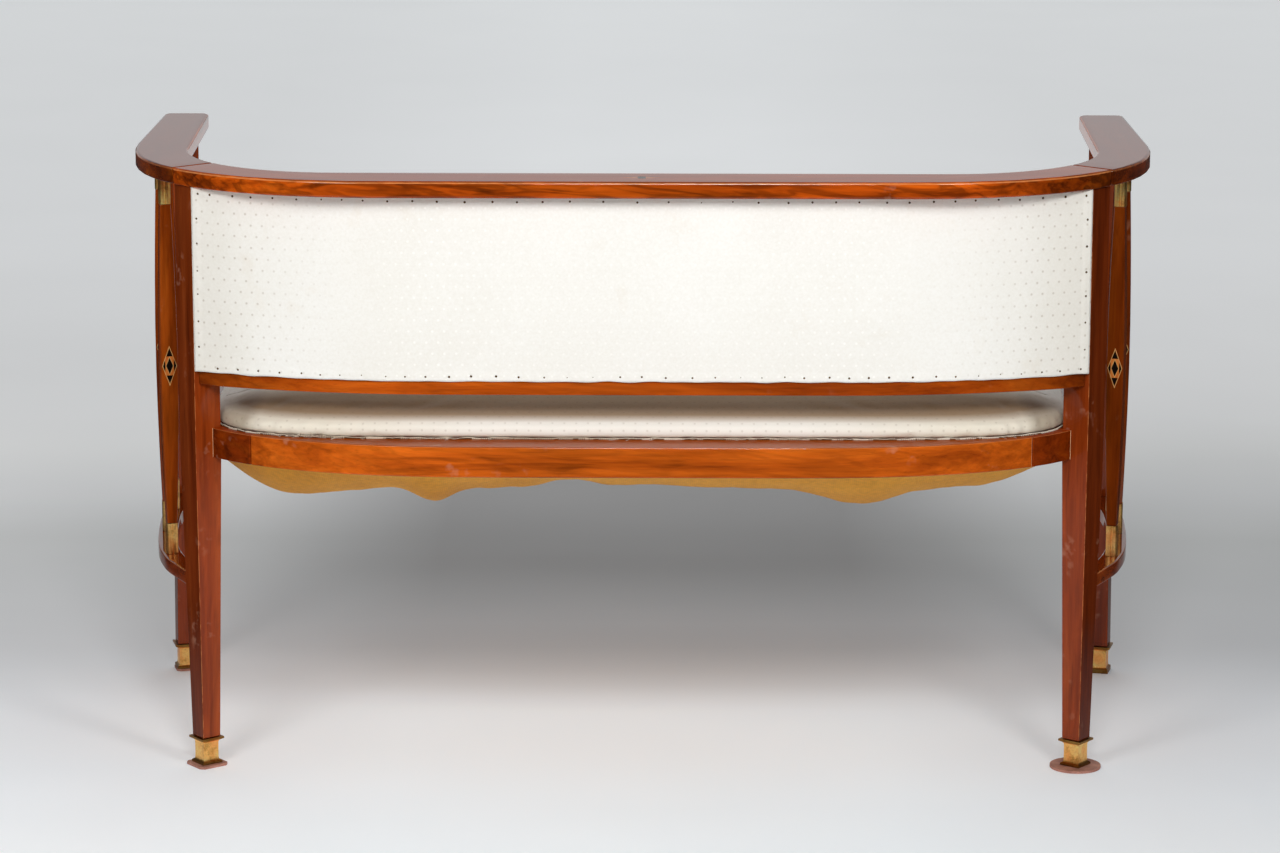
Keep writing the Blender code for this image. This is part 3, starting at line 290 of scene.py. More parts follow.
def dots(g, u, v):
    """Mask of small round dots, every second row shifted by half a pitch."""
    row = g.plus(g.over(v, SPOT_PITCH[1]), FAR_ROWS)
    shift = g.times(g.math("MODULO", g.math("FLOOR", row), 2.0), 0.5)
    column = g.plus(g.plus(g.over(u, SPOT_PITCH[0]), FAR_ROWS), shift)
    du = g.times(g.minus(g.math("FRACT", column), 0.5), SPOT_PITCH[0])
    dv = g.times(g.minus(g.math("FRACT", row), 0.5), SPOT_PITCH[1])
    far = g.math("SQRT", g.plus(g.times(du, du), g.times(dv, dv)))
    edge = g.over(g.minus(far, SPOT_RADIUS * 0.55), SPOT_RADIUS * 0.9)
    return g.math("SUBTRACT", 1.0, edge, use_clamp=True)


def back_ends_and_spot_sheen(g, base, spot, where):
    """Darker towards the ends of the stretched back, and satin spots painted near white in its middle and
    grey towards its ends, a painted sheen.
    """
    aside = g.times(g.math("ABSOLUTE", where["X"]), 2.0)
    end_darkening = g.ramp(aside, [(0.78, (1.0, 1.0, 1.0)), (0.90, (0.97, 0.965, 0.955)),
                          (1.0, (0.91, 0.895, 0.87))])
    # Painted sheen: how strongly the spots show, and their colour, change along the back.
    shown = g.ramp(aside, [(0.30, 0.35), (0.50, 0.65), (0.70, 0.05), (0.84, 0.22), (0.93, 0.50)])
    top_tone_and_spot_sheen = g.ramp(aside, [(0.62, lin(255, 254, 250)), (0.72, lin(172, 160, 144))])
    return g.mix(g.times(spot, shown), g.tint(base, end_darkening), top_tone_and_spot_sheen)


def seat_dirt_and_shade(g, base, spot, where):
    """Painted shadow of the lower back rail where the seat runs in under the back, and darkening towards
    its rear corners: soil, and at the darkest painted shade of the fold beside each rear post.
    """
    rise = g.minus(where["Z"], SEAT_LEVEL)
    level = g.times(rise, 10.0)
    under = g.times(g.fade(where["Y"], 0.10, 0.17),
                    g.fade(level, 0.66, 0.74, 1.0, 0.0))
    # Painted shadow: brownish darkening above the lit roll, under the lower back rail.
    painted_rail_shadow = g.times(g.fade(level, 0.19, 0.245), under)
    # Soil towards the corners, ending in painted shade of the fold beside each post.
    slant = g.plus(g.math("ABSOLUTE", where["X"]), g.times(rise, 0.35))
    end_darkening = g.ramp(g.times(slant, 2.0), [(0.40, (1.0, 1.0, 0.99)), (0.76, (0.90, 0.87, 0.79)),
                                        (0.92, (0.85, 0.81, 0.73)), (0.955, (0.50, 0.44, 0.36))])
    base = g.mix(0.8, base, lin(252, 250, 242))
    base = g.mix(g.times(spot, 0.24), base, lin(170, 156, 138))
    base = g.tint(base, lin(166, 138, 106), g.times(painted_rail_shadow, 0.95))
    return g.tint(base, end_darkening, under)


def fabric(name, uv_layer=None):
    """Ivory cotton with a woven spot. It reads a UV map in metres, or the place in space."""
    g = material_graph(name)
    where = g.axes()
    if uv_layer:
        flat = g.axes(g.add("ShaderNodeUVMap", uv_map=uv_layer).outputs["UV"])
        u, v = flat["X"], flat["Y"]
    else:
        up = g.axes(g.add("ShaderNodeNewGeometry").outputs["Normal"])["Z"]
        level = g.math("GREATER_THAN", g.math("ABSOLUTE", up), 0.60)
        u = where["X"]
        v = g.plus(g.times(where["Y"], level), g.times(where["Z"], g.minus(1.0, level)))
    spot = dots(g, u, v)
    warp = g.math("SINE", g.times(u, THREADS[0]))
    weft = g.math("SINE", g.times(v, THREADS[1]))
    weave = g.plus(g.times(g.times(warp, weft), 0.5), 0.5)
    slub = g.noise(300, 2.0)
    stain = g.noise(16, 4.0, 0.6, offset=(2.0, 6.0, 1.0))
    base = g.ramp(g.noise(5), [(0.30, lin(236, 235, 229)), (0.70, lin(242, 242, 238))])
    base = g.mix(0.10, base, g.ramp(slub, [(0.35, lin(214, 205, 188)), (0.65, lin(252, 250, 246))]))
    base = g.mix(g.fade(stain, 0.60, 0.78, 0.0, 0.22), base, lin(214, 198, 172))
    base = (back_ends_and_spot_sheen if uv_layer else seat_dirt_and_shade)(g, base, spot, where)
    rough = g.plus(g.times(slub, 0.10), 0.62)
    normal = g.bump(g.plus(weave, g.times(spot, -0.8)), 0.35, 0.00025)
    return g.finish(base, rough, normal, Sheen_Weight=0.15, Sheen_Roughness=0.4, Specular_IOR_Level=0.3)


RIM_SCALE = 20.0


def brass(name, dull=1.0, rims=None):
    """Old lacquered brass, browner in patches; rims are the low and high heights of dark mouldings."""
    g = material_graph(name)
    patch = g.noise(60, 4.0, 0.6)
    fine = g.noise(420, 2.0)
    glow = g.noise(38, 1.0, offset=(4.0, 2.0, 9.0))
    color = g.ramp(patch, [(0.30, lin(176, 128, 62)), (0.46, lin(240, 190, 112)),
                           (0.72, lin(255, 222, 150))])
    color = g.mix(0.25, color, g.ramp(fine, [(0.35, lin(128, 92, 46)), (0.62, lin(246, 206, 136))]))
    color = g.mix(g.fade(glow, 0.50, 0.68, 0.0, 0.55), color, lin(226, 140, 74))
    if rims:
        level = g.plus(g.times(g.axes()["Z"], RIM_SCALE), g.times(fine, 0.02))
        low, high = rims[0] * RIM_SCALE, rims[1] * RIM_SCALE
        dark = g.ramp(level, [(low, 0.34), (low + 0.05, 1.0), (high - 0.04, 1.0), (high, 0.40)])
        color = g.tint(color, g.mix(dark, lin(196, 176, 128), (1.0, 1.0, 1.0)))
        color = g.tint(color, dark)
    color = g.tint(color, (dull, dull * 0.94, dull * 0.86))
    rough = g.plus(g.times(patch, 0.20), 0.34)
    return g.finish(color, rough, g.bump(fine, 0.15, 0.0003), Metallic=1.0)


def cloth(name, deep, light, pitch=2600.0):
    """Coarse plain-woven cloth."""
    g = material_graph(name)
    where = g.axes()
    warp, weft = [g.math("SINE", g.times(where[axis], pitch)) for axis in "XY"]
    weave = g.plus(g.times(g.plus(warp, weft), 0.25), 0.5)
    fibre = g.noise(160)
    color = g.fade(g.noise(7), 0.30, 0.70, deep, light)
    color = g.tint(color, g.fade(fibre, 0.3, 0.65, 0.55, 1.15), 0.30)
    color = g.tint(color, g.fade(weave, 0.2, 0.8, 0.6, 1.1), 0.25)
    rough = g.plus(g.times(fibre, 0.10), 0.85)
    return g.finish(color, rough, g.bump(weave, 0.5, 0.0006), Sheen_Weight=0.10, Specular_IOR_Level=0.2)


def leather(name, deep, light):
    """Matt felted leather of the foot pads."""
    g = material_graph(name)
    grain = g.noise(500, 3.0, 0.6)
    tone = g.noise(45, 2.0)
    color = g.mix(0.4, *[g.fade(mask, 0.3, 0.7, deep, light) for mask in (tone, grain)])
    top_tone_and_spot_sheen = g.tint(color, g.ramp(tone, [(0.3, lin(206, 214, 210)), (0.7, lin(236, 236, 226))]))
    color = g.mix(g.fade(g.axes("Normal")["Z"], 0.4, 0.8), color, top_tone_and_spot_sheen)
    return g.finish(color, g.plus(g.times(grain, 0.15), 0.72), g.bump(grain, 0.4, 0.0008))


def veneer(name, deep, light, rough=0.25, centre=None, polish=0.3, shine=0.5):
    """One piece of inlaid veneer, grain along its length; centre is the tone of its middle lozenge."""
    g = material_graph(name)
    streak = g.noise((260, 260, 24), 3.0, 0.6)
    color = g.fade(streak, 0.30, 0.70, deep, light)
    if centre:
        aside = g.times(g.math("ABSOLUTE", g.axes()["X"]), 40.0)
        color = g.mix(g.fade(aside, 0.17, 0.20, 1.0, 0.0), color, centre)
    return g.finish(color, g.plus(g.times(streak, 0.08), rough), g.bump(streak, 0.06, 0.0002),
                    Coat_Weight=polish, Coat_Roughness=0.08, Specular_IOR_Level=shine)


POLISH = (lin(104, 36, 3), lin(172, 70, 8), lin(210, 100, 18))
POST_WOOD = (lin(104, 36, 9), lin(142, 57, 17), lin(166, 76, 30))
MATERIALS = {
    "fascia": wood("mahogany_fascia", *POLISH, "x", figure=1.2, top=0.95, coat=0.74,
                   tones=[(-0.56, 0.28), (-0.50, 0.40), (-0.40, 0.56), (0.0, 0.40), (0.20, 0.50),
                          (0.45, 0.70), (0.55, 0.95)]),
    "arm": wood("mahogany_arm", *POLISH, "y", outer=0.60, top=0.48, coat=0.86, arris_rub_and_highlight=0.4),
    "lower": wood("mahogany_lower", lin(128, 44, 6), lin(182, 78, 12), lin(208, 100, 22), "x",
                  figure=0.7, coat=0.7,
                  tones=[(-0.50, 0.36), (-0.36, 0.46), (0.0, 0.42), (0.30, 0.55), (0.42, 0.50),
                         (0.50, 0.34)]),
    "rear_rail": wood("mahogany_rear_rail", lin(122, 46, 7), lin(178, 80, 15), lin(204, 100, 24), "x",
                      figure=0.8, top=1.0, coat=0.5, end=0.5,
                      tones=[(-0.46, 0.72), (-0.30, 0.60), (0.0, 0.48), (0.30, 0.66), (0.44, 0.70)]),
    "corner": wood("mahogany_corner", lin(112, 38, 5), lin(164, 62, 11), lin(190, 84, 18), "x",
                   coat=0.5, end=0.8),
    "side": wood("mahogany_side", lin(84, 28, 5), lin(126, 48, 9), lin(154, 68, 16), "y", end=0.35),
    "post": wood("mahogany_post", *POST_WOOD, "z", outer=0.55, figure=0.5, coat=0.45,
                 tones=[(-0.60, 0.42), (-0.45, 0.42), (0.45, 0.50), (0.60, 0.50)]),
    "rear_post": wood("mahogany_rear_post", *POST_WOOD, "z", outer=0.58, figure=0.5, coat=0.45,
                      arris_rub_and_highlight_axis="Y", tones=[(-0.60, 0.45), (-0.45, 0.43), (0.45, 0.51), (0.60, 0.50)]),
    "slat": wood("mahogany_slat", lin(92, 34, 7), lin(142, 60, 12), lin(172, 82, 20), "z",
                 figure=0.7, coat=0.5, tones=[(-0.60, 0.30), (-0.45, 0.30), (0.45, 0.50), (0.60, 0.50)]),
    "raw": wood("raw_beech", lin(150, 112, 70), lin(182, 144, 98), lin(202, 168, 122), "x",
                figure=0.4, raw=True),
    "brass": brass("sabot_brass", 1.22, rims=(0.0068, SABOT_TOP - 0.0022)),
    "ferrule": brass("ferrule_brass", 1.12),
    "ferrule_dark": brass("ferrule_brass_dark", 1.35),
    "back_fabric": fabric("spotted_cotton_back", "metres"),
    "seat_fabric": fabric("spotted_cotton_seat"),
    "base_cloth": cloth("hessian_mustard", lin(206, 140, 38), lin(236, 170, 58)),
    "webbing": cloth("jute_webbing", lin(132, 104, 68), lin(176, 146, 104), 1800.0),
    "thread": cloth("stitching_thread", lin(206, 190, 166), lin(240, 232, 216), 3000.0),
    # Dark brown of the gaps between the stitches: painted shade.
    "stitch_gap_shade": cloth("painted_stitch_gap_shade", lin(84, 58, 40), lin(120, 88, 62), 3000.0),
    "leather": leather("pad_leather_felt", lin(138, 84, 72), lin(200, 146, 130)),
    "tack": brass("tack_dark", 0.16),
    "inlay": veneer("inlay_orange", lin(186, 92, 30), lin(222, 136, 58)),
    "ebony": veneer("inlay_ebony", lin(12, 8, 7), lin(24, 16, 13), polish=0.08, shine=0.0),
    "rail_inlay": veneer("inlay_top_rail", lin(150, 84, 50), lin(186, 120, 76), centre=lin(22, 34, 28),
                         polish=0.74, shine=0.0),
    "glue": veneer("joint_line", lin(206, 142, 92), lin(232, 184, 140), 0.5),
    "string": veneer("inlay_stringing", lin(214, 160, 92), lin(236, 190, 124)),
}


# Finish of the CAD pieces
WELD = 0.00002
SHARP_ANGLE = 33.0 * DEGREE


def smoothing_group():
    """Joins the split facets of a CAD mesh and shades its gentle bends smooth."""
    group = bpy.data.node_groups.new("smooth_bends", "GeometryNodeTree")
    group.interface.new_socket("Geometry", in_out="INPUT", socket_type="NodeSocketGeometry")
    group.interface.new_socket("Geometry", in_out="OUTPUT", socket_type="NodeSocketGeometry")
    add = group.nodes.new
    start, end = add("NodeGroupInput"), add("NodeGroupOutput")
    drop = add("GeometryNodeRemoveAttribute")
    drop.inputs["Name"].default_value = "custom_normal"
    weld = add("GeometryNodeMergeByDistance")
    weld.inputs["Distance"].default_value = WELD
    faces = add("GeometryNodeSetShadeSmooth")
    edges = add("GeometryNodeSetShadeSmooth")
    edges.domain = "EDGE"
    edges.inputs["Shade Smooth"].default_value = False
    angle = add("GeometryNodeInputMeshEdgeAngle")
    sharp = add("ShaderNodeMath")
    sharp.operation = "GREATER_THAN"
    sharp.inputs[1].default_value = SHARP_ANGLE
    link = group.links.new
    link(start.outputs[0], drop.inputs["Geometry"])
    link(drop.outputs["Geometry"], weld.inputs["Geometry"])
    link(weld.outputs["Geometry"], faces.inputs["Geometry"])
    link(faces.outputs["Geometry"], edges.inputs["Geometry"])
    link(angle.outputs["Unsigned Angle"], sharp.inputs[0])
    link(sharp.outputs[0], edges.inputs["Selection"])
    link(edges.outputs["Geometry"], end.inputs[0])
    return group


SMOOTH = smoothing_group()


def dress(name, material):
    """Gives a CAD node its material and smooth shading over its bends."""
    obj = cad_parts[name]
    for slot in obj.material_slots:
        slot.link = "OBJECT"
        slot.material = MATERIALS[material]
    smooth = obj.modifiers.new("smooth", "NODES")
    smooth.node_group = SMOOTH
    weighted = obj.modifiers.new("weighted", "WEIGHTED_NORMAL")
    weighted.keep_sharp = True


# The first of these starts that fits a node's name gives its material
FINISHES = {"top_rail_back": "fascia", "arm_rail": "arm", "lower_back_rail": "lower",
            "seat_rail_rear": "rear_rail", "seat_rail_corner": "corner", "seat_rail_side": "side",
            "seat_rail_front": "rear_rail", "rear_post": "rear_post", "front_post": "post",
            "side_stretcher": "side", "slat_inlay": "inlay", "slat": "slat",
            "ferrule_upper": "ferrule_dark", "ferrule_lower": "ferrule", "rear_sabot": "brass",
            "front_sabot": "brass", "rear_foot_pad": "leather", "front_foot_pad": "leather",
            "corner_block": "raw", "back_stile": "raw", "top_rail_inlay": "rail_inlay"}
for node_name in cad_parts:
    for start, material in FINISHES.items():
        if node_name.startswith(start):
            dress(node_name, material)
            break


# Mesh helpers
def piece(name, bm, materials, smooth=True, nodes=()):
    """Turns a bmesh into a shown piece that rides on the frame."""
    mesh = bpy.data.meshes.new(name)
    bm.to_mesh(mesh)
    bm.free()
    obj = bpy.data.objects.new(name, mesh)
    bpy.context.scene.collection.objects.link(obj)
    for material in materials:
        mesh.materials.append(MATERIALS[material])
    if smooth:
        mesh.shade_smooth()
    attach(obj, "root")
    if nodes:
        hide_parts(*nodes)
    return obj


def apply_modifiers(obj):
    """Bakes an object's modifiers into its mesh."""
    graph = bpy.context.evaluated_depsgraph_get()
    mesh = bpy.data.meshes.new_from_object(obj.evaluated_get(graph))
    obj.modifiers.clear()
    obj.data = mesh


def thicken(obj, thickness, offset=0.0):
    """Gives an open sheet its thickness."""
    solid = obj.modifiers.new("thickness", "SOLIDIFY")
    solid.thickness = thickness
    solid.offset = offset
    apply_modifiers(obj)


def refine(obj):
    """Subdivides a soft form once."""
    subdivide = obj.modifiers.new("fine", "SUBSURF")
    subdivide.levels = subdivide.render_levels = 1
    apply_modifiers(obj)


def join_rings(bm, near, far):
    """Adds the band of faces between two closed rings of corners and returns the faces."""
    faces = []
    for k in range(len(near)):
        n = (k + 1) % len(near)
        faces.append(bm.faces.new((near[k], near[n], far[n], far[k])))
    return faces


def smoothstep(value):
    value = min(max(value, 0.0), 1.0)
    return value * value * (3.0 - 2.0 * value)


def ripple(x, y, z, scale=1.0):
    """Smooth noise in space, between -1 and 1, times a scale."""
    return scale * noise.noise(Vector((x, y, z)))


def along_curve(points):
    """Length of a line of points up to each of them."""
    lengths = [0.0]
    for a, b in zip(points, points[1:]):
        lengths.append(lengths[-1] + math.dist(a, b))
    return lengths


def corner_points(cx, cy, rx, ry, power, steps):
    """Points of a rounded corner, from the back round to the side."""
    points = []
    for i in range(steps + 1):
        angle = 0.5 * math.pi * i / steps
        sx = max(math.sin(angle), 0.0) ** (2.0 / power)
        sy = max(math.cos(angle), 0.0) ** (2.0 / power) if i < steps else 0.0
        points.append((cx + rx * sx, cy + ry * sy))
    return points


def cover_y(x, offset=0.0):
    """Outer face of the back cover."""
    share = (abs(x) - COVER_END_X) / COVER_REACH + 1.0
    return COVER_BACK_Y - (COVER_BACK_Y - COVER_END_Y) * max(share, 0.0) ** COVER_POWER - offset


def cover_slope(x, step):
    """Slope of the back cover's plan at a place."""
    return (cover_y(x + step) - cover_y(x - step)) / (2.0 * step)


def cover_out(x):
    """Outward direction of the back cover at a place."""
    return Vector((-cover_slope(x, 0.0005), 1.0, 0.0)).normalized()


# Outside back cover and its tacks
TACK_RADIUS, TACK_HEIGHT = 0.0014, 0.0009
TOP_ROW = POST_TOP - 0.0073
LOW_ROW = COVER_LOW + 0.0055
SIDE_ROW = COVER_END_X - 0.0058
SIDE_PITCH = 0.0305
COVER_COLUMNS, COVER_ROWS = 420, 84
COVER_CLOTH = 0.0012
PUCKER_DEPTH, PUCKER_RADIUS = 0.0009, 0.0045
HEM_WIDTH, HEM_PROUD = 0.0085, 0.0007


def level_row(rng, first, level, wobble, pitch, middle_extra, scatter):
    """Places of a level row of tacks, wider apart in its middle, each a little too high or low."""
    row = []
    x = -COVER_END_X + first
    while x < COVER_END_X - 0.006:
        row.append((x, level + rng.uniform(-wobble, wobble)))
        x += (pitch + middle_extra * (1.0 - abs(x) / COVER_END_X)) * rng.uniform(*scatter)
    return row


def tack_rows():
    """Places (x, z) of the tacks of the outside back: top row, bottom row and both sides."""
    rng = random.Random(5)
    top = level_row(rng, 0.008, TOP_ROW, 0.0006, 0.024, 0.012, (0.85, 1.12))
    if top[-1][0] < COVER_END_X - 0.016:
        top.append((COVER_END_X - 0.008, TOP_ROW))
    low = level_row(rng, 0.010, LOW_ROW, 0.0007, 0.0225, 0.006, (0.85, 1.15))
    side = []
    z = COVER_LOW + 0.030
    while z < POST_TOP - 0.020:
        for sign in (-1, 1):
            side.append((sign * SIDE_ROW, z + rng.uniform(-0.0015, 0.0015)))
        z += SIDE_PITCH * rng.uniform(0.95, 1.05)
    return top + low + side


def cover_lift(x, z, share, tacks):
    """How far the cover stands off: drag lines, a folded edge and puckers at the tacks beside it."""
    lift = 0.0
    for tack_x, tack_z in tacks:
        square = (x - tack_x) ** 2 + (z - tack_z) ** 2
        lift -= PUCKER_DEPTH * math.exp(-square / PUCKER_RADIUS ** 2)
    lift += ripple(x * 26.0, z * 3.0, 2.0, 0.0006) * smoothstep(4.0 * min(share, 1.0 - share) + 0.2)
    lift += ripple(x * 7.0, z * 7.0, 5.0, 0.0010)
    edge = min(z - COVER_LOW, POST_TOP - z, COVER_END_X - abs(x) + 0.0004)
    return lift + HEM_PROUD * (1.0 - smoothstep((edge - HEM_WIDTH) / 0.0015)) - 0.0003


def build_outside_cover():
    """Sheet of spotted cotton, close-tacked on all four sides, with faint drag lines and puckers."""
    tacks = tack_rows()
    bm = bmesh.new()
    layer = bm.loops.layers.uv.new("metres")
    xs = [COVER_END_X * (2.0 * i / COVER_COLUMNS - 1.0) for i in range(COVER_COLUMNS + 1)]
    lengths = along_curve([(x, cover_y(x)) for x in xs])
    width, height = lengths[-1], POST_TOP - COVER_LOW
    grid = []
    for x in xs:
        column = []
        near = [tack for tack in tacks if abs(tack[0] - x) < 0.030]
        for j in range(COVER_ROWS + 1):
            share = j / COVER_ROWS
            z = COVER_LOW + (height - 0.0003) * share
            drop = 0.0 if j else ripple(x * 38.0, 0.0, 9.0, 0.0012)
            point = Vector((x, cover_y(x), z + drop)) + cover_out(x) * cover_lift(x, z, share, near)
            column.append(bm.verts.new(point))
        grid.append(column)
    for i in range(COVER_COLUMNS):
        for j in range(COVER_ROWS):
            corners = ((i, j), (i, j + 1), (i + 1, j + 1), (i + 1, j))
            face = bm.faces.new([grid[a][b] for a, b in corners])
            for loop, (a, b) in zip(face.loops, corners):
                loop[layer].uv = (lengths[a] - 0.5 * width, b / COVER_ROWS * height)
    obj = piece("back_cover_cloth", bm, ["back_fabric"], nodes=["outside_back_cover"])
    thicken(obj, COVER_CLOTH, -1.0)
    heads = bmesh.new()
    for x, z in tacks:
        out = cover_out(x)
        add_dome(heads, Vector((x, cover_y(x), z)) + out * -0.0006, out, TACK_RADIUS, TACK_HEIGHT)
    piece("back_cover_tacks", heads, ["tack"])


def add_dome(bm, place, out, radius, height, segments=10):
    """Adds a low domed tack head."""
    turn = out.to_track_quat("Z", "Y").to_matrix()
    rings = []
    for share in (1.0, 0.82, 0.48):
        level = height * math.sqrt(1.0 - share * share)
        ring = []
        for k in range(segments):
            angle = 2.0 * math.pi * k / segments
            local = Vector((radius * share * math.cos(angle), radius * share * math.sin(angle), level))
            ring.append(bm.verts.new(place + turn @ local))
        rings.append(ring)
    tip = bm.verts.new(place + out * height)
    for lower, upper in zip(rings, rings[1:]):
        join_rings(bm, lower, upper)
    for k in range(segments):
        bm.faces.new((rings[-1][k], rings[-1][(k + 1) % segments], tip))
    bm.faces.new(rings[0][::-1])


# Stuffed seat and inside back
SOFT_GRID = 0.006
SOFT_CAP = 0.003
SOFT_FRAMES = 20


def swell_cloth(obj):
    """Runs a short cloth simulation with pressure inside and the group called tacked held."""
    cloth_sim = obj.modifiers.new("cloth", "CLOTH")
    settings = cloth_sim.settings
    settings.vertex_group_mass = "tacked"
    settings.use_pressure = True
    settings.uniform_pressure_force = 4.0
    settings.effector_weights.gravity = 0.0
    settings.quality = 5
    settings.mass = 0.3
    settings.tension_stiffness = 20.0
    settings.compression_stiffness = 20.0
    settings.bending_stiffness = 0.4
    cloth_sim.point_cache.frame_start = 1
    cloth_sim.point_cache.frame_end = SOFT_FRAMES
    scene = bpy.context.scene
    for f in range(1, SOFT_FRAMES + 1):
        scene.frame_set(f)
    apply_modifiers(obj)
    scene.frame_set(1)


def simulate(obj, free):
    """Remeshes a closed form and swells it like a stuffed cover.

    free gives 0 where the cover is tacked down and 1 where it may move, at most by SOFT_CAP and not
    inwards."""
    remesh = obj.modifiers.new("remesh", "REMESH")
    remesh.mode = "VOXEL"
    remesh.voxel_size = SOFT_GRID
    apply_modifiers(obj)
    rest = [(v.co.copy(), v.normal.copy()) for v in obj.data.vertices]
    group = obj.vertex_groups.new(name="tacked")
    group.add([v.index for v in obj.data.vertices if free(v.co) <= 0.0], 1.0, "REPLACE")
    swell_cloth(obj)
    for vertex, (before, out) in zip(obj.data.vertices, rest):
        move = vertex.co - before
        move -= out * min(move.dot(out), 0.0)
        if move.length > SOFT_CAP:
            move = move.normalized() * SOFT_CAP
        vertex.co = before + move * free(before)


def loft_rings(loops):
    """Joins closed loops of points and caps both ends."""
    bm = bmesh.new()
    rows = [[bm.verts.new(point) for point in loop] for loop in loops]
    for lower, upper in zip(rows, rows[1:]):
        join_rings(bm, lower, upper)
    bm.faces.new(rows[0])
    bm.faces.new(rows[-1])
    bmesh.ops.triangulate(bm, faces=[f for f in bm.faces if len(f.verts) > 4])
    bmesh.ops.recalc_face_normals(bm, faces=bm.faces)
    return bm


# Plan of the seat, and its rings: how far each lies inside that plan and how high it is
SEAT_HALF_WIDTH, SEAT_BACK_Y = 0.519, 0.2545
SEAT_FRONT_X, SEAT_FRONT_Y = 0.533, -0.230
SEAT_FRONT_RADIUS = 0.055
SEAT_POWER = 4.2
SEAT_SHRINK = 0.002
SEAT_RISE = 0.94
SEAT_RINGS = [(0.0018, 0.0003), (0.0000, 0.0050), (-0.0016, 0.0100), (0.0010, 0.0165),
              (0.0110, 0.0225), (0.0280, 0.0265), (0.0520, 0.0315), (0.0900, 0.0385),
              (0.1400, 0.0475), (0.1900, 0.0550)]


def seat_plan(inset):
    """Plan of the seat moved inwards by a distance."""
    corner_x, corner_y = FRAME_CORNER
    points = corner_points(corner_x, corner_y, SEAT_HALF_WIDTH - corner_x - inset,
                           SEAT_BACK_Y - corner_y - inset, SEAT_POWER, 40)
    front_x, front_y, radius = SEAT_FRONT_X - inset, SEAT_FRONT_Y + inset, SEAT_FRONT_RADIUS
    start_x, start_y = points[-1]
    for k in range(1, 12):
        share = k / 12
        points.append((start_x + (front_x - start_x) * share,
                       start_y + (front_y + radius - start_y) * share))
    for k in range(9):
        angle = 0.5 * math.pi * k / 8
        points.append((front_x - radius * (1.0 - math.cos(angle)),
                       front_y + radius * (1.0 - math.sin(angle))))
    for k in range(1, 16):
        points.append(((front_x - radius) * (1.0 - k / 16), front_y))
    mirrored = [(-x, y) for x, y in points[::-1]]
    return points + mirrored[:-1]


def post_frame(hand, z=0.0):
    """Turn and middle of a rear post: 1 is the settee's right, -1 its left."""
    turn = Matrix.Rotation(hand * REAR_POST[2] * DEGREE, 3, "Z")
    return turn, Vector((hand * REAR_POST[0], REAR_POST[1], z))


def keep_off_posts(point, gap):
    """Moves a point of the seat out of the rear post beside it."""
    turn, middle = post_frame(1 if point.x > 0 else -1, point.z)
    local = turn.transposed() @ (point - middle)
    limit = POST_HALF + gap
    if abs(local.x) < limit and abs(local.y) < limit:
        if abs(local.x) > abs(local.y):
            local.x = math.copysign(limit, local.x)
        else:
            local.y = math.copysign(limit, local.y)
        point.xyz = middle + turn @ local


def build_seat():
    """Stuffed seat: drawn in at its tacked edge, rolled sides and a low crown."""
    loops = []
    for inset, height in SEAT_RINGS:
        level = SEAT_LEVEL + height * SEAT_RISE
        loops.append([(x, y, level) for x, y in seat_plan(inset + SEAT_SHRINK)])
    obj = piece("seat_upholstery", loft_rings(loops), ["seat_fabric"], nodes=["seat_cushion"])
    simulate(obj, lambda place: smoothstep((place.z - SEAT_LEVEL - 0.010) / 0.020))
    for vertex in obj.data.vertices:
        vertex.co.z = max(vertex.co.z, SEAT_LEVEL + 0.0004)
        keep_off_posts(vertex.co, 0.0006)
    refine(obj)
    for vertex in obj.data.vertices:
        gather_edge(vertex.co)
        keep_off_posts(vertex.co, 0.0004)
    obj.data.shade_smooth()
    build_seat_edge(seat_plan(SEAT_SHRINK))


GATHER_HEIGHT = 0.034
FOLD_X, FOLD_HEIGHT, FOLD_LEAN = 0.462, 0.038, 0.55
FOLD_DEPTH, FOLD_WIDTH = 0.0042, 0.0040
SECOND_FOLD_X, SECOND_FOLD_DEPTH, SECOND_FOLD_WIDTH = -0.016, 0.0018, 0.0042
DRAWN_IN = 0.0030


def gather_edge(point):
    """Small drag lines over the tacked edge of the seat, and the fold beside each rear post."""
    x, y, z = point
    rise = (z - SEAT_LEVEL) / GATHER_HEIGHT
    if rise < 1.0:
        drag = ripple(x * 85.0, y * 85.0, z * 9.0, 0.0011) + ripple(x * 24.0, y * 24.0, 3.0, 0.0012)
        pull = drag * smoothstep(1.3 - rise)
        point.x -= pull * (1 if x > 0 else -1)
        point.y -= pull * (1 if y > 0 else -1)
    if y > 0.10 and z > SEAT_LEVEL + 0.004:
        place = abs(x) - FOLD_X - (SEAT_LEVEL + FOLD_HEIGHT - z) * FOLD_LEAN
        fold = FOLD_DEPTH * math.exp(-(place / FOLD_WIDTH) ** 2) + DRAWN_IN * smoothstep(place / 0.006)
        fold += SECOND_FOLD_DEPTH * math.exp(-((place - SECOND_FOLD_X) / SECOND_FOLD_WIDTH) ** 2)
        point.y -= fold * smoothstep((z - SEAT_LEVEL - 0.003) / 0.010)


def even_points(loop, pitch):
    """Points of a closed plan curve at an even pitch."""
    ring = loop + loop[:1]
    lengths = along_curve(ring)
    count = 2 * int(lengths[-1] / pitch / 2)
    out, k = [], 0
    for i in range(count):
        goal = lengths[-1] * i / count
        while lengths[k + 1] < goal:
            k += 1
        share = (goal - lengths[k]) / max(lengths[k + 1] - lengths[k], 1e-9)
        (x, y), (next_x, next_y) = ring[k], ring[k + 1]
        out.append((x + (next_x - x) * share, y + (next_y - y) * share))
    return out


STITCH_PITCH = 0.0012
FRAY_COUNT, THICK_FRAYS, CLUSTERED_FRAYS = 90, 16, 45
FRAY_CLUSTER = (0.388, 0.018)
THREAD_CORNERS = (0.0, 2.094, 4.189)


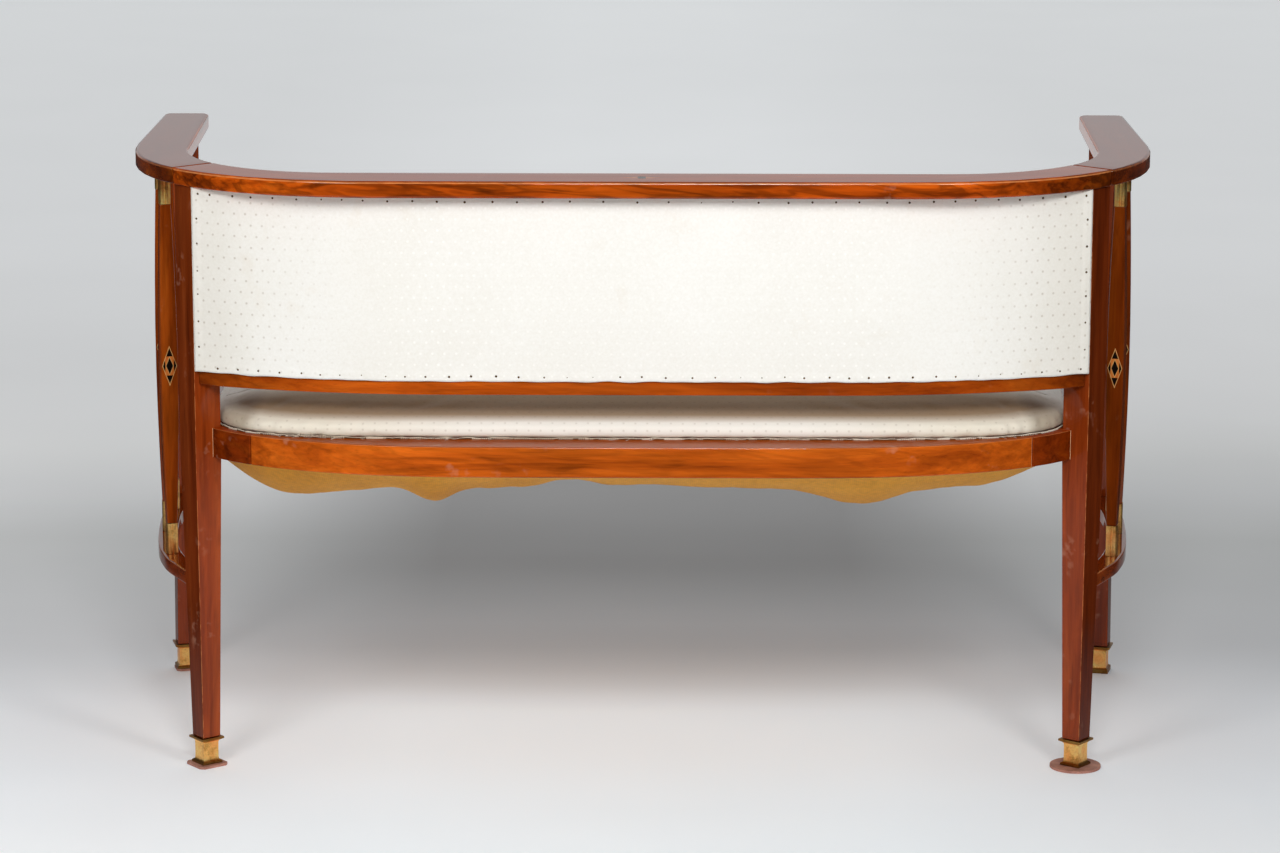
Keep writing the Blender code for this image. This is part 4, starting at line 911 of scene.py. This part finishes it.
def build_seat_edge(plan):
    """Stitched edge of the seat cover, light stitches over dark gaps painted as shade, with frayed
    threads.
    """
    bm = bmesh.new()
    places = even_points(plan, STITCH_PITCH)
    low = SEAT_LEVEL + 0.0003
    rows = []
    for i, (x, y) in enumerate(places):
        before, after = places[i - 1], places[(i + 1) % len(places)]
        along = Vector((after[0] - before[0], after[1] - before[1], 0.0)).normalized()
        out = Vector((along.y, -along.x, 0.0))
        base = Vector((x, y, 0.0))
        if out.dot(base) < 0:
            out = -out
        proud = 0.0008 if i % 2 else 0.0003
        tall = 0.0013 + ripple(x * 90.0, y * 90.0, 6.0, 0.0008)
        section = ((-0.0012, low), (proud, low), (proud, low + tall), (-0.0012, low + tall * 1.3))
        rows.append([bm.verts.new(base + out * reach + Vector((0, 0, level))) for reach, level in section])
    for i, row in enumerate(rows):
        faces = join_rings(bm, row, rows[(i + 1) % len(rows)])
        if ripple(places[i][0] * 40.0, 7.0, i % 2) > -0.05:
            faces[1].material_index = 1
    bmesh.ops.recalc_face_normals(bm, faces=bm.faces)
    piece("seat_edge_stitching", bm, ["thread", "stitch_gap_shade"], smooth=False)
    build_frays([place for place in places if place[1] > 0.1])


def build_frays(places):
    """Loose threads along the rear edge of the seat, half of them where the cover is most worn."""
    rng = random.Random(23)
    bm = bmesh.new()
    for number in range(FRAY_COUNT):
        x = rng.gauss(*FRAY_CLUSTER) if number < CLUSTERED_FRAYS else rng.uniform(-0.46, 0.46)
        near_x, near_y = min(places, key=lambda place: abs(place[0] - x))
        point = Vector((near_x, near_y + 0.0012, SEAT_LEVEL + rng.uniform(0.0006, 0.0022)))
        heading = Vector((rng.choice((-1, 1)), rng.uniform(0.1, 0.5), rng.uniform(-0.1, 0.2))).normalized()
        trail = [point.copy()]
        for _ in range(rng.randint(3, 6)):
            sway = Vector((rng.uniform(-0.4, 0.4), rng.uniform(-0.35, 0.35), rng.uniform(-0.4, 0.3)))
            heading = (heading + sway).normalized()
            point = point + heading * rng.uniform(0.0012, 0.0026)
            point.z = max(point.z, SEAT_LEVEL + 0.0003)
            trail.append(point.copy())
        radius = rng.uniform(0.00050, 0.00080) if number < THICK_FRAYS else rng.uniform(0.00016, 0.00034)
        add_thread(bm, trail, radius)
    bmesh.ops.recalc_face_normals(bm, faces=bm.faces)
    piece("seat_edge_frays", bm, ["thread"])


def add_thread(bm, trail, radius):
    """Adds a thin three-sided thread along a trail."""
    last = len(trail) - 1
    rings = []
    for i, point in enumerate(trail):
        ahead = (trail[min(i + 1, last)] - trail[max(i - 1, 0)]).normalized()
        turn = ahead.to_track_quat("Z", "Y").to_matrix()
        width = radius * (0.35 if i == last else 1.0)
        rings.append([bm.verts.new(point + turn @ Vector((width * math.cos(a), width * math.sin(a), 0.0)))
                      for a in THREAD_CORNERS])
    for near, far in zip(rings, rings[1:]):
        join_rings(bm, near, far)
    bm.faces.new(rings[0][::-1])
    bm.faces.new(rings[-1])


GLUE_HALF_WIDTH, GLUE_VARIES = 0.00042, 0.00022
SCARF_GLUE = 0.22


def glue_line(bm, hand, x, y, thick):
    """Upright strip of glue over the height of the seat rail, a little uneven."""
    steps = 24
    rows = []
    for k in range(steps + 1):
        z = SEAT_UNDER + 0.0006 + (SEAT_LEVEL - SEAT_UNDER - 0.0012) * k / steps
        width = thick * (GLUE_HALF_WIDTH + ripple(z * 160.0, hand * 3.0, 1.0, GLUE_VARIES))
        middle = x - 0.0002 + ripple(z * 70.0, hand * 5.0, 4.0, 0.00016)
        rows.append([bm.verts.new((hand * (middle + side * width), y + 0.00022 - side * width * 0.55, z))
                     for side in (-1, 1)])
    for near, far in zip(rows, rows[1:]):
        bm.faces.new((near[0], near[1], far[1], far[0]))


def build_joint_lines():
    """Thin pale glue lines where the seat rail runs against each rear post, and at its left scarf."""
    bm = bmesh.new()
    corner_x, corner_y = FRAME_CORNER
    outline = corner_points(corner_x, corner_y, FRAME_HALF_WIDTH - corner_x, FRAME_BACK_Y - corner_y,
                            FRAME_POWER, 1600)
    turn, middle = post_frame(1)
    for x, y in outline:
        local = turn.transposed() @ (Vector((x, y, 0.0)) - middle)
        if abs(local.x) < POST_HALF and abs(local.y) < POST_HALF:
            break
    scarf = -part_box("seat_rail_rear")[0].x
    scarf_y = min(outline, key=lambda point: abs(point[0] - scarf))[1]
    glue_line(bm, 1, x, y, 1.0)
    glue_line(bm, -1, x, y, 1.0)
    glue_line(bm, -1, scarf, scarf_y, SCARF_GLUE)
    bmesh.ops.recalc_face_normals(bm, faces=bm.faces)
    thicken(piece("post_joint_lines", bm, ["glue"]), 0.0003)


# Section of the inside back: shares of its depth and of its height
PAD_SECTION = [(0.0, 0.03), (0.0, 1.0), (0.52, 1.0), (0.72, 0.975), (0.88, 0.90), (0.97, 0.72),
               (1.0, 0.50), (0.97, 0.28), (0.88, 0.10), (0.72, 0.025), (0.50, 0.0), (0.06, 0.0)]
PAD_DEPTH = 0.046
PAD_MARGIN = 0.002
PAD_COLUMNS = 36


def build_inside_back():
    """Stuffed inside back with a crown, between the rear posts."""
    low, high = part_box("inside_back_pad")
    start = COVER_THICKNESS + LOWER_RAIL_DEPTH + 0.0012
    bottom = low.z + PAD_MARGIN
    height = high.z - low.z - 2.0 * PAD_MARGIN
    loops = []
    for i in range(PAD_COLUMNS + 1):
        x = (high.x - PAD_MARGIN) * (2.0 * i / PAD_COLUMNS - 1.0)
        lean = math.atan(cover_slope(x, 0.0003))
        at_end = i in (0, PAD_COLUMNS)
        depth_part, height_part, lift = (0.86, 0.96, 0.02) if at_end else (1.0, 1.0, 0.0)
        loop = []
        for depth_share, height_share in PAD_SECTION:
            depth = PAD_DEPTH * depth_share * depth_part
            loop.append((x + depth * math.sin(lean), cover_y(x, start) - depth * math.cos(lean),
                         bottom + height * (height_share * height_part + lift)))
        loops.append(loop)
    obj = piece("inside_back_upholstery", loft_rings(loops), ["seat_fabric"],
                nodes=["inside_back_pad"])
    simulate(obj, lambda place: smoothstep((cover_y(place.x, start) - 0.006 - place.y) / 0.020))
    for vertex in obj.data.vertices:
        place = vertex.co
        place.z = min(max(place.z, low.z), high.z)
        place.y = min(place.y, cover_y(place.x, COVER_THICKNESS + LOWER_RAIL_DEPTH + 0.0006))
    refine(obj)
    obj.data.shade_smooth()


# Cloth and webbing under the seat
# Folds: place and reach as shares of the frame's half width, and added depth as a share of the sag
CLOTH_FOLDS = [(0.828, 0.179, 1.087), (0.444, 0.049, 0.421), (0.158, 0.065, -0.297),
               (-0.004, 0.135, -0.133), (-0.474, 0.100, 0.499), (-0.769, 0.146, 0.356)]
CLOTH_SAG = 0.0502
CLOTH_SIDE = 0.030
CLOTH_FRONT_Y, CLOTH_BACK_Y = FRAME_FRONT_Y + 0.014, FRAME_BACK_Y - 0.014
CLOTH_COLUMNS, CLOTH_ROWS = 220, 110
CLOTH_THICKNESS = 0.0010


def rounded_reach(share, power=FRAME_POWER):
    """Height of a rounded corner of reach 1 at a share of its length."""
    return max(1.0 - min(max(share, 0.0), 1.0) ** power, 0.0) ** (1.0 / power)


def cloth_half_width(y):
    """Half the width of the cloth under the seat at a place."""
    corner_x, corner_y = FRAME_CORNER
    if y <= corner_y:
        share = (corner_y - y) / (corner_y - FRAME_FRONT_Y)
        return FRAME_HALF_WIDTH + (FRAME_FRONT_X - FRAME_HALF_WIDTH) * share - CLOTH_SIDE
    swing = rounded_reach((y - corner_y) / (CLOTH_BACK_Y - corner_y))
    return corner_x + (FRAME_HALF_WIDTH - corner_x - CLOTH_SIDE) * swing


def cloth_height(x, y):
    """Underside of the hanging cloth, with its folds and small creases."""
    sag = CLOTH_SAG
    for place, reach, extra in CLOTH_FOLDS:
        distance = (x - place * FRAME_HALF_WIDTH) / (reach * FRAME_HALF_WIDTH)
        sag += CLOTH_SAG * extra * math.exp(-distance * distance)
    place = ((y - CLOTH_FRONT_Y) / (CLOTH_BACK_Y - CLOTH_FRONT_Y) - 0.5) / 0.485
    across = max(1.0 - abs(place) ** 3, 0.0)
    share = across * max(1.0 - (abs(x) / cloth_half_width(y)) ** 5, 0.0)
    crease = ripple(x * 22.0, y * 5.0, 1.0, 0.0022)
    crease += ripple(x * 60.0 + y * 20.0, y * 14.0, 4.0, 0.0010)
    return SEAT_UNDER - 0.0006 - sag * share + crease * smoothstep(share * 3.0)


def build_under_cloth():
    """Mustard cloth tacked under the frame, sagging in uneven folds."""
    bm = bmesh.new()
    grid = []
    for j in range(CLOTH_ROWS + 1):
        share = 1.0 - (1.0 - j / CLOTH_ROWS) ** 1.5
        y = CLOTH_FRONT_Y + (CLOTH_BACK_Y - CLOTH_FRONT_Y) * share
        half = cloth_half_width(y)
        xs = [half * (2.0 * i / CLOTH_COLUMNS - 1.0) for i in range(CLOTH_COLUMNS + 1)]
        grid.append([bm.verts.new((x, y, cloth_height(x, y))) for x in xs])
    for near, far in zip(grid, grid[1:]):
        for i in range(CLOTH_COLUMNS):
            bm.faces.new((near[i], far[i], far[i + 1], near[i + 1]))
    area = sum(face.calc_area() for face in bm.faces)
    obj = piece("under_seat_hessian", bm, ["base_cloth"], nodes=["under_seat_cloth"])
    thicken(obj, CLOTH_THICKNESS, 1.0)


BAND_WIDTH, BAND_THICKNESS = 0.05, 0.0006
BAND_WAVE = 0.0006
LONG_BANDS = (-0.42, -0.30, -0.18, -0.06, 0.06, 0.18, 0.30, 0.42)
CROSS_BANDS = (-0.15, -0.05, 0.05, 0.15)
LONG_PITCH, CROSS_PITCH = 0.12, 0.10
WEB_FRONT_Y = -0.205
WEB_BACK = (0.045, 0.190)
WEB_REACH = (0.333, 0.196)


def build_webbing():
    """Interlaced jute webbing inside the frame."""
    bm = bmesh.new()
    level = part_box("seat_webbing")[1].z - 0.0013
    bands = [(x, True) for x in LONG_BANDS] + [(y, False) for y in CROSS_BANDS]
    for number, (place, to_front) in enumerate(bands):
        if to_front:
            last = WEB_BACK[0] + WEB_BACK[1] * rounded_reach((abs(place) - FRAME_CORNER[0]) / WEB_REACH[0])
            first, shift, pitch = WEB_FRONT_Y, -0.5 * CROSS_PITCH, CROSS_PITCH
        else:
            last = WEB_REACH[0] * rounded_reach((place - FRAME_CORNER[1]) / WEB_REACH[1])
            last += FRAME_CORNER[0] - 0.004
            first, shift, pitch = -last, 0.5 * LONG_PITCH, LONG_PITCH
        rows = []
        steps = 60
        for k in range(steps + 1):
            s = first + (last - first) * k / steps
            wave = BAND_WAVE * math.cos(math.pi * (s + shift) / pitch) * (1 if number % 2 else -1)
            sides = (place - 0.5 * BAND_WIDTH, place + 0.5 * BAND_WIDTH)
            rows.append([bm.verts.new((side, s, level + wave) if to_front else (s, side, level + wave))
                         for side in sides])
        for a, b in zip(rows, rows[1:]):
            bm.faces.new((a[0], a[1], b[1], b[0]))
    bmesh.ops.recalc_face_normals(bm, faces=bm.faces)
    area = sum(face.calc_area() for face in bm.faces)
    obj = piece("seat_webbing_bands", bm, ["webbing"], nodes=["seat_webbing"])
    thicken(obj, BAND_THICKNESS)


# Inlay work of a slat, as (across, up) places on its face
INLAY_HALF_LENGTH, INLAY_HALF_WIDTH = 0.0248, 0.0089
STRING = 0.0006
STRING_LINES = [[(INLAY_HALF_WIDTH, INLAY_HALF_LENGTH),
                 (INLAY_HALF_WIDTH - STRING * 1.1, INLAY_HALF_LENGTH - STRING * 3.0)],
                [(0.0050, 0.0119), (0.0043, 0.0102)]]
EBONY_SHAPES = [[(0, 0.0222), (0.0040, 0.0118), (-0.0040, 0.0118)],
                [(0, -0.0222), (-0.0040, -0.0118), (0.0040, -0.0118)],
                [(0, 0.0102), (0.0043, 0), (0, -0.0102), (-0.0043, 0)],
                [(0.0055, 0.0078), (0.0083, 0), (0.0055, -0.0078), (0.0051, 0)],
                [(-0.0055, 0.0078), (-0.0051, 0), (-0.0055, -0.0078), (-0.0083, 0)]]
STRING_PROUD, EBONY_PROUD = 0.00008, 0.00012


def build_slat_inlay(name, turn, centre):
    """Ebony points, chevrons and two stringing lines on the lozenge of one slat."""
    bm = bmesh.new()

    def shape(corners, proud):
        return [bm.verts.new(centre + turn @ Vector((x, SLAT_FACE + proud, z))) for x, z in corners]

    for pair in STRING_LINES:
        outer, inner = [shape([(0, tall), (wide, 0), (0, -tall), (-wide, 0)], STRING_PROUD)
                        for wide, tall in pair]
        join_rings(bm, outer, inner)
    for corners in EBONY_SHAPES:
        bm.faces.new(shape(corners, EBONY_PROUD)).material_index = 1
    bmesh.ops.recalc_face_normals(bm, faces=bm.faces)
    for face in bm.faces:
        if (turn @ Vector((0, 1, 0))).dot(face.normal) < 0:
            face.normal_flip()
    piece(name, bm, ["string", "ebony"], smooth=False)


def build_slat_inlays():
    for where, (x, y, degrees) in SLATS.items():
        for side, hand in ((1, "right"), (-1, "left")):
            turn = Matrix.Rotation(side * degrees * DEGREE, 3, "Z")
            centre = Vector((side * x, y, SLAT_MIDDLE_Z))
            build_slat_inlay(f"slat_marquetry_{where}_{hand}", turn, centre)


build_outside_cover()
build_inside_back()
build_seat()
build_under_cloth()
build_webbing()
build_slat_inlays()
build_joint_lines()


# Floor, light and camera; the floor's tones and bands are (y, tone) pairs in metres
FLOOR_SIZE = 30.0
FLOOR_HALF = 8.0
FLOOR_TONES = [(-8.0, (0.30, 0.32, 0.33)), (-3.6, (0.26, 0.275, 0.285)), (-1.9, (0.175, 0.185, 0.19)),
               (-1.62, (0.14, 0.15, 0.15)), (-1.3, (0.06, 0.07, 0.075)), (-1.0, (0.01, 0.02, 0.02)),
               (-0.36, (0.01, 0.02, 0.03)), (-0.10, (0.03, 0.05, 0.07)), (0.12, (0.05, 0.07, 0.09)),
               (0.30, (0.07, 0.10, 0.125)), (0.60, (0.06, 0.085, 0.10)), (2.4, (0.09, 0.11, 0.14)),
               (5.0, (0.33, 0.34, 0.35)), (8.0, (0.37, 0.38, 0.39))]
TILT_START = [(-2.2, 0.0), (-1.6, 1.0)]
FLOOR_SHADE = [(-1.3, 1.0), (-1.0, 0.91), (-0.4, 0.89), (-0.1, 1.0)]
SHADE_BANDS = [(-1.8, 0.0), (-1.45, 1.0), (-0.85, 0.90), (-0.69, 0.55), (-0.52, 0.14), (-0.36, 0.30),
               (-0.22, 0.24), (-0.10, 0.0)]
LIGHT_BANDS = [(-0.22, 0.0), (-0.03, 1.0), (0.25, 0.8), (0.6, 0.6), (0.9, 0.0)]
MIDDLE_BANDS = [(-6.5, 0.6), (-5.0, 1.0), (-3.6, 0.6), (-2.4, 0.0)]
BLACK, WHITE = (0.0, 0.0, 0.0), (1.0, 1.0, 1.0)


def floor_material():
    """Pale floor whose glow gives the studio's uneven light as the camera sees it."""
    g = material_graph("pale_floor")
    where = g.axes()
    depth = g.over(g.plus(where["Y"], FLOOR_HALF), 2.0 * FLOOR_HALF)

    def by_depth(pairs):
        return g.ramp(depth, [((y + FLOOR_HALF) / (2.0 * FLOOR_HALF), tone) for y, tone in pairs])

    speckle = g.noise(3, 2.0)
    color = g.ramp(speckle, [(0.3, lin(236, 237, 238)), (0.7, lin(239, 240, 241))])
    seen = g.seen()
    aside = g.math("ABSOLUTE", where["X"])
    ahead = g.math("MAXIMUM", g.minus(where["Y"], 0.3), 0.0)
    far = g.over(g.math("MAXIMUM", aside, ahead), 4.0)
    glossy = g.add("ShaderNodeLightPath").outputs["Is Glossy Ray"]
    near = g.mix(glossy, WHITE, g.fade(far, 0.15, 0.30, 1.0, 0.05))
    color = g.tint(color, near)
    glow = g.mix(seen, BLACK, g.tint(near, by_depth(FLOOR_TONES)))
    # Painted light and shade in the floor's colour: lighter towards +x, darker behind the settee.
    tilt = g.ramp(g.plus(g.over(where["X"], 4.0), 0.5), [(0.25, 0.88), (0.5, 1.0), (0.75, 1.12)])
    color = g.tint(color, tilt, by_depth(TILT_START))
    color = g.tint(color, by_depth(FLOOR_SHADE))
    shade = g.times(g.fade(aside, 0.30, 0.62, 0.92, 0.0), by_depth(SHADE_BANDS))
    glow = g.mix(shade, glow, BLACK)
    color = g.mix(g.times(shade, 0.42), color, BLACK)
    light = g.times(g.fade(aside, 0.30, 0.62, 1.0, 0.0), by_depth(LIGHT_BANDS))
    glow = g.mix(g.times(light, seen), glow, (0.045, 0.085, 0.105), "ADD")
    middle = g.times(g.fade(aside, 0.25, 1.0, 1.0, 0.1), by_depth(MIDDLE_BANDS))
    glow = g.mix(g.times(middle, seen), glow, (0.075, 0.078, 0.080), "ADD")
    return g.finish(color, g.plus(g.times(speckle, 0.05), 0.82), Specular_IOR_Level=0.0,
                    Emission_Strength=1.0, Emission_Color=glow)


def build_floor():
    """Wide flat floor."""
    mesh = bpy.data.meshes.new("floor")
    size = FLOOR_SIZE
    mesh.from_pydata([(-size, -size, 0), (size, -size, 0), (size, size, 0), (-size, size, 0)], [],
                     [(0, 1, 2, 3)])
    mesh.materials.append(floor_material())
    floor = bpy.data.objects.new("floor", mesh)
    bpy.context.scene.collection.objects.link(floor)


# Surroundings from the front of the settee (0) round to its back (1)
AMBIENT = [(0.0, (1.75, 1.76, 1.78)), (0.09, (1.25, 1.26, 1.27)), (0.22, (0.40, 0.40, 0.41)),
           (0.45, (0.24, 0.24, 0.24)), (1.0, (0.26, 0.235, 0.21))]
MIRRORED = [(0.0, (0.66, 0.67, 0.68)), (0.05, (0.62, 0.63, 0.64)), (0.11, (0.18, 0.18, 0.18)),
            (0.25, (0.05, 0.045, 0.04)), (1.0, (0.035, 0.03, 0.025))]


def build_surroundings():
    """Light from all round, brightest from the front, and what the polish mirrors instead of it."""
    world = bpy.data.worlds.new("surroundings")
    bpy.context.scene.world = world
    g = Graph(world)
    side = g.plus(g.times(g.axes("Generated")["Y"], 0.5), 0.5)
    around, shown = [g.add("ShaderNodeBackground", {"Color": g.ramp(side, colors), "Strength": 1.0})
                     for colors in (AMBIENT, MIRRORED)]
    mixed = g.add("ShaderNodeMixShader", {0: g.seen(), 1: around.outputs[0], 2: shown.outputs[0]})
    g.add("ShaderNodeOutputWorld", {"Surface": mixed.outputs[0]})


# Lamps: name, place, diameter and level
LAMP_AIM = Vector((0.0, 0.27, 0.55))
LAMPS = [("right_box", (-0.96, 1.77, 1.66), 0.50, 0.24), ("left_box", (1.04, 1.95, 1.74), 0.80, 0.27),
         ("middle_box", (-0.10, 3.00, 1.94), 0.70, 0.36)]


def build_lamp(name, place, size, level):
    """Soft round lamp aimed at the settee; level is the light that reaches it at any distance."""
    data = bpy.data.lights.new(name, "AREA")
    data.shape = "DISK"
    data.size = size
    ray = LAMP_AIM - Vector(place)
    data.energy = level * math.pi * math.pi * ray.length_squared
    obj = bpy.data.objects.new(name, data)
    obj.location = place
    obj.rotation_euler = ray.to_track_quat("-Z", "Y").to_euler()
    bpy.context.scene.collection.objects.link(obj)


PHOTO_WIDTH = 1280.0
FOCAL_PIXELS = 4140.94
SENSOR_WIDTH = 36.0
CAMERA_PLACE = (-0.021, 5.032, 1.4535)
CAMERA_HEADING, CAMERA_TILT, CAMERA_ROLL = 180.27, 78.0, 0.098


def build_camera():
    """Long lens behind the settee and a little above it, fitted to the photograph."""
    data = bpy.data.cameras.new("camera")
    data.sensor_width = SENSOR_WIDTH
    data.lens = FOCAL_PIXELS * SENSOR_WIDTH / PHOTO_WIDTH
    data.clip_end = 100.0
    camera = bpy.data.objects.new("camera", data)
    camera.location = CAMERA_PLACE
    turn = Matrix.Rotation(CAMERA_HEADING * DEGREE, 3, "Z") @ Matrix.Rotation(CAMERA_TILT * DEGREE, 3, "X")
    camera.rotation_euler = (turn @ Matrix.Rotation(CAMERA_ROLL * DEGREE, 3, "Z")).to_euler()
    bpy.context.scene.collection.objects.link(camera)
    bpy.context.scene.camera = camera
    bpy.context.scene.view_settings.view_transform = "Standard"


build_floor()
build_surroundings()
for lamp in LAMPS:
    build_lamp(*lamp)
build_camera()
bpy.context.view_layer.update()
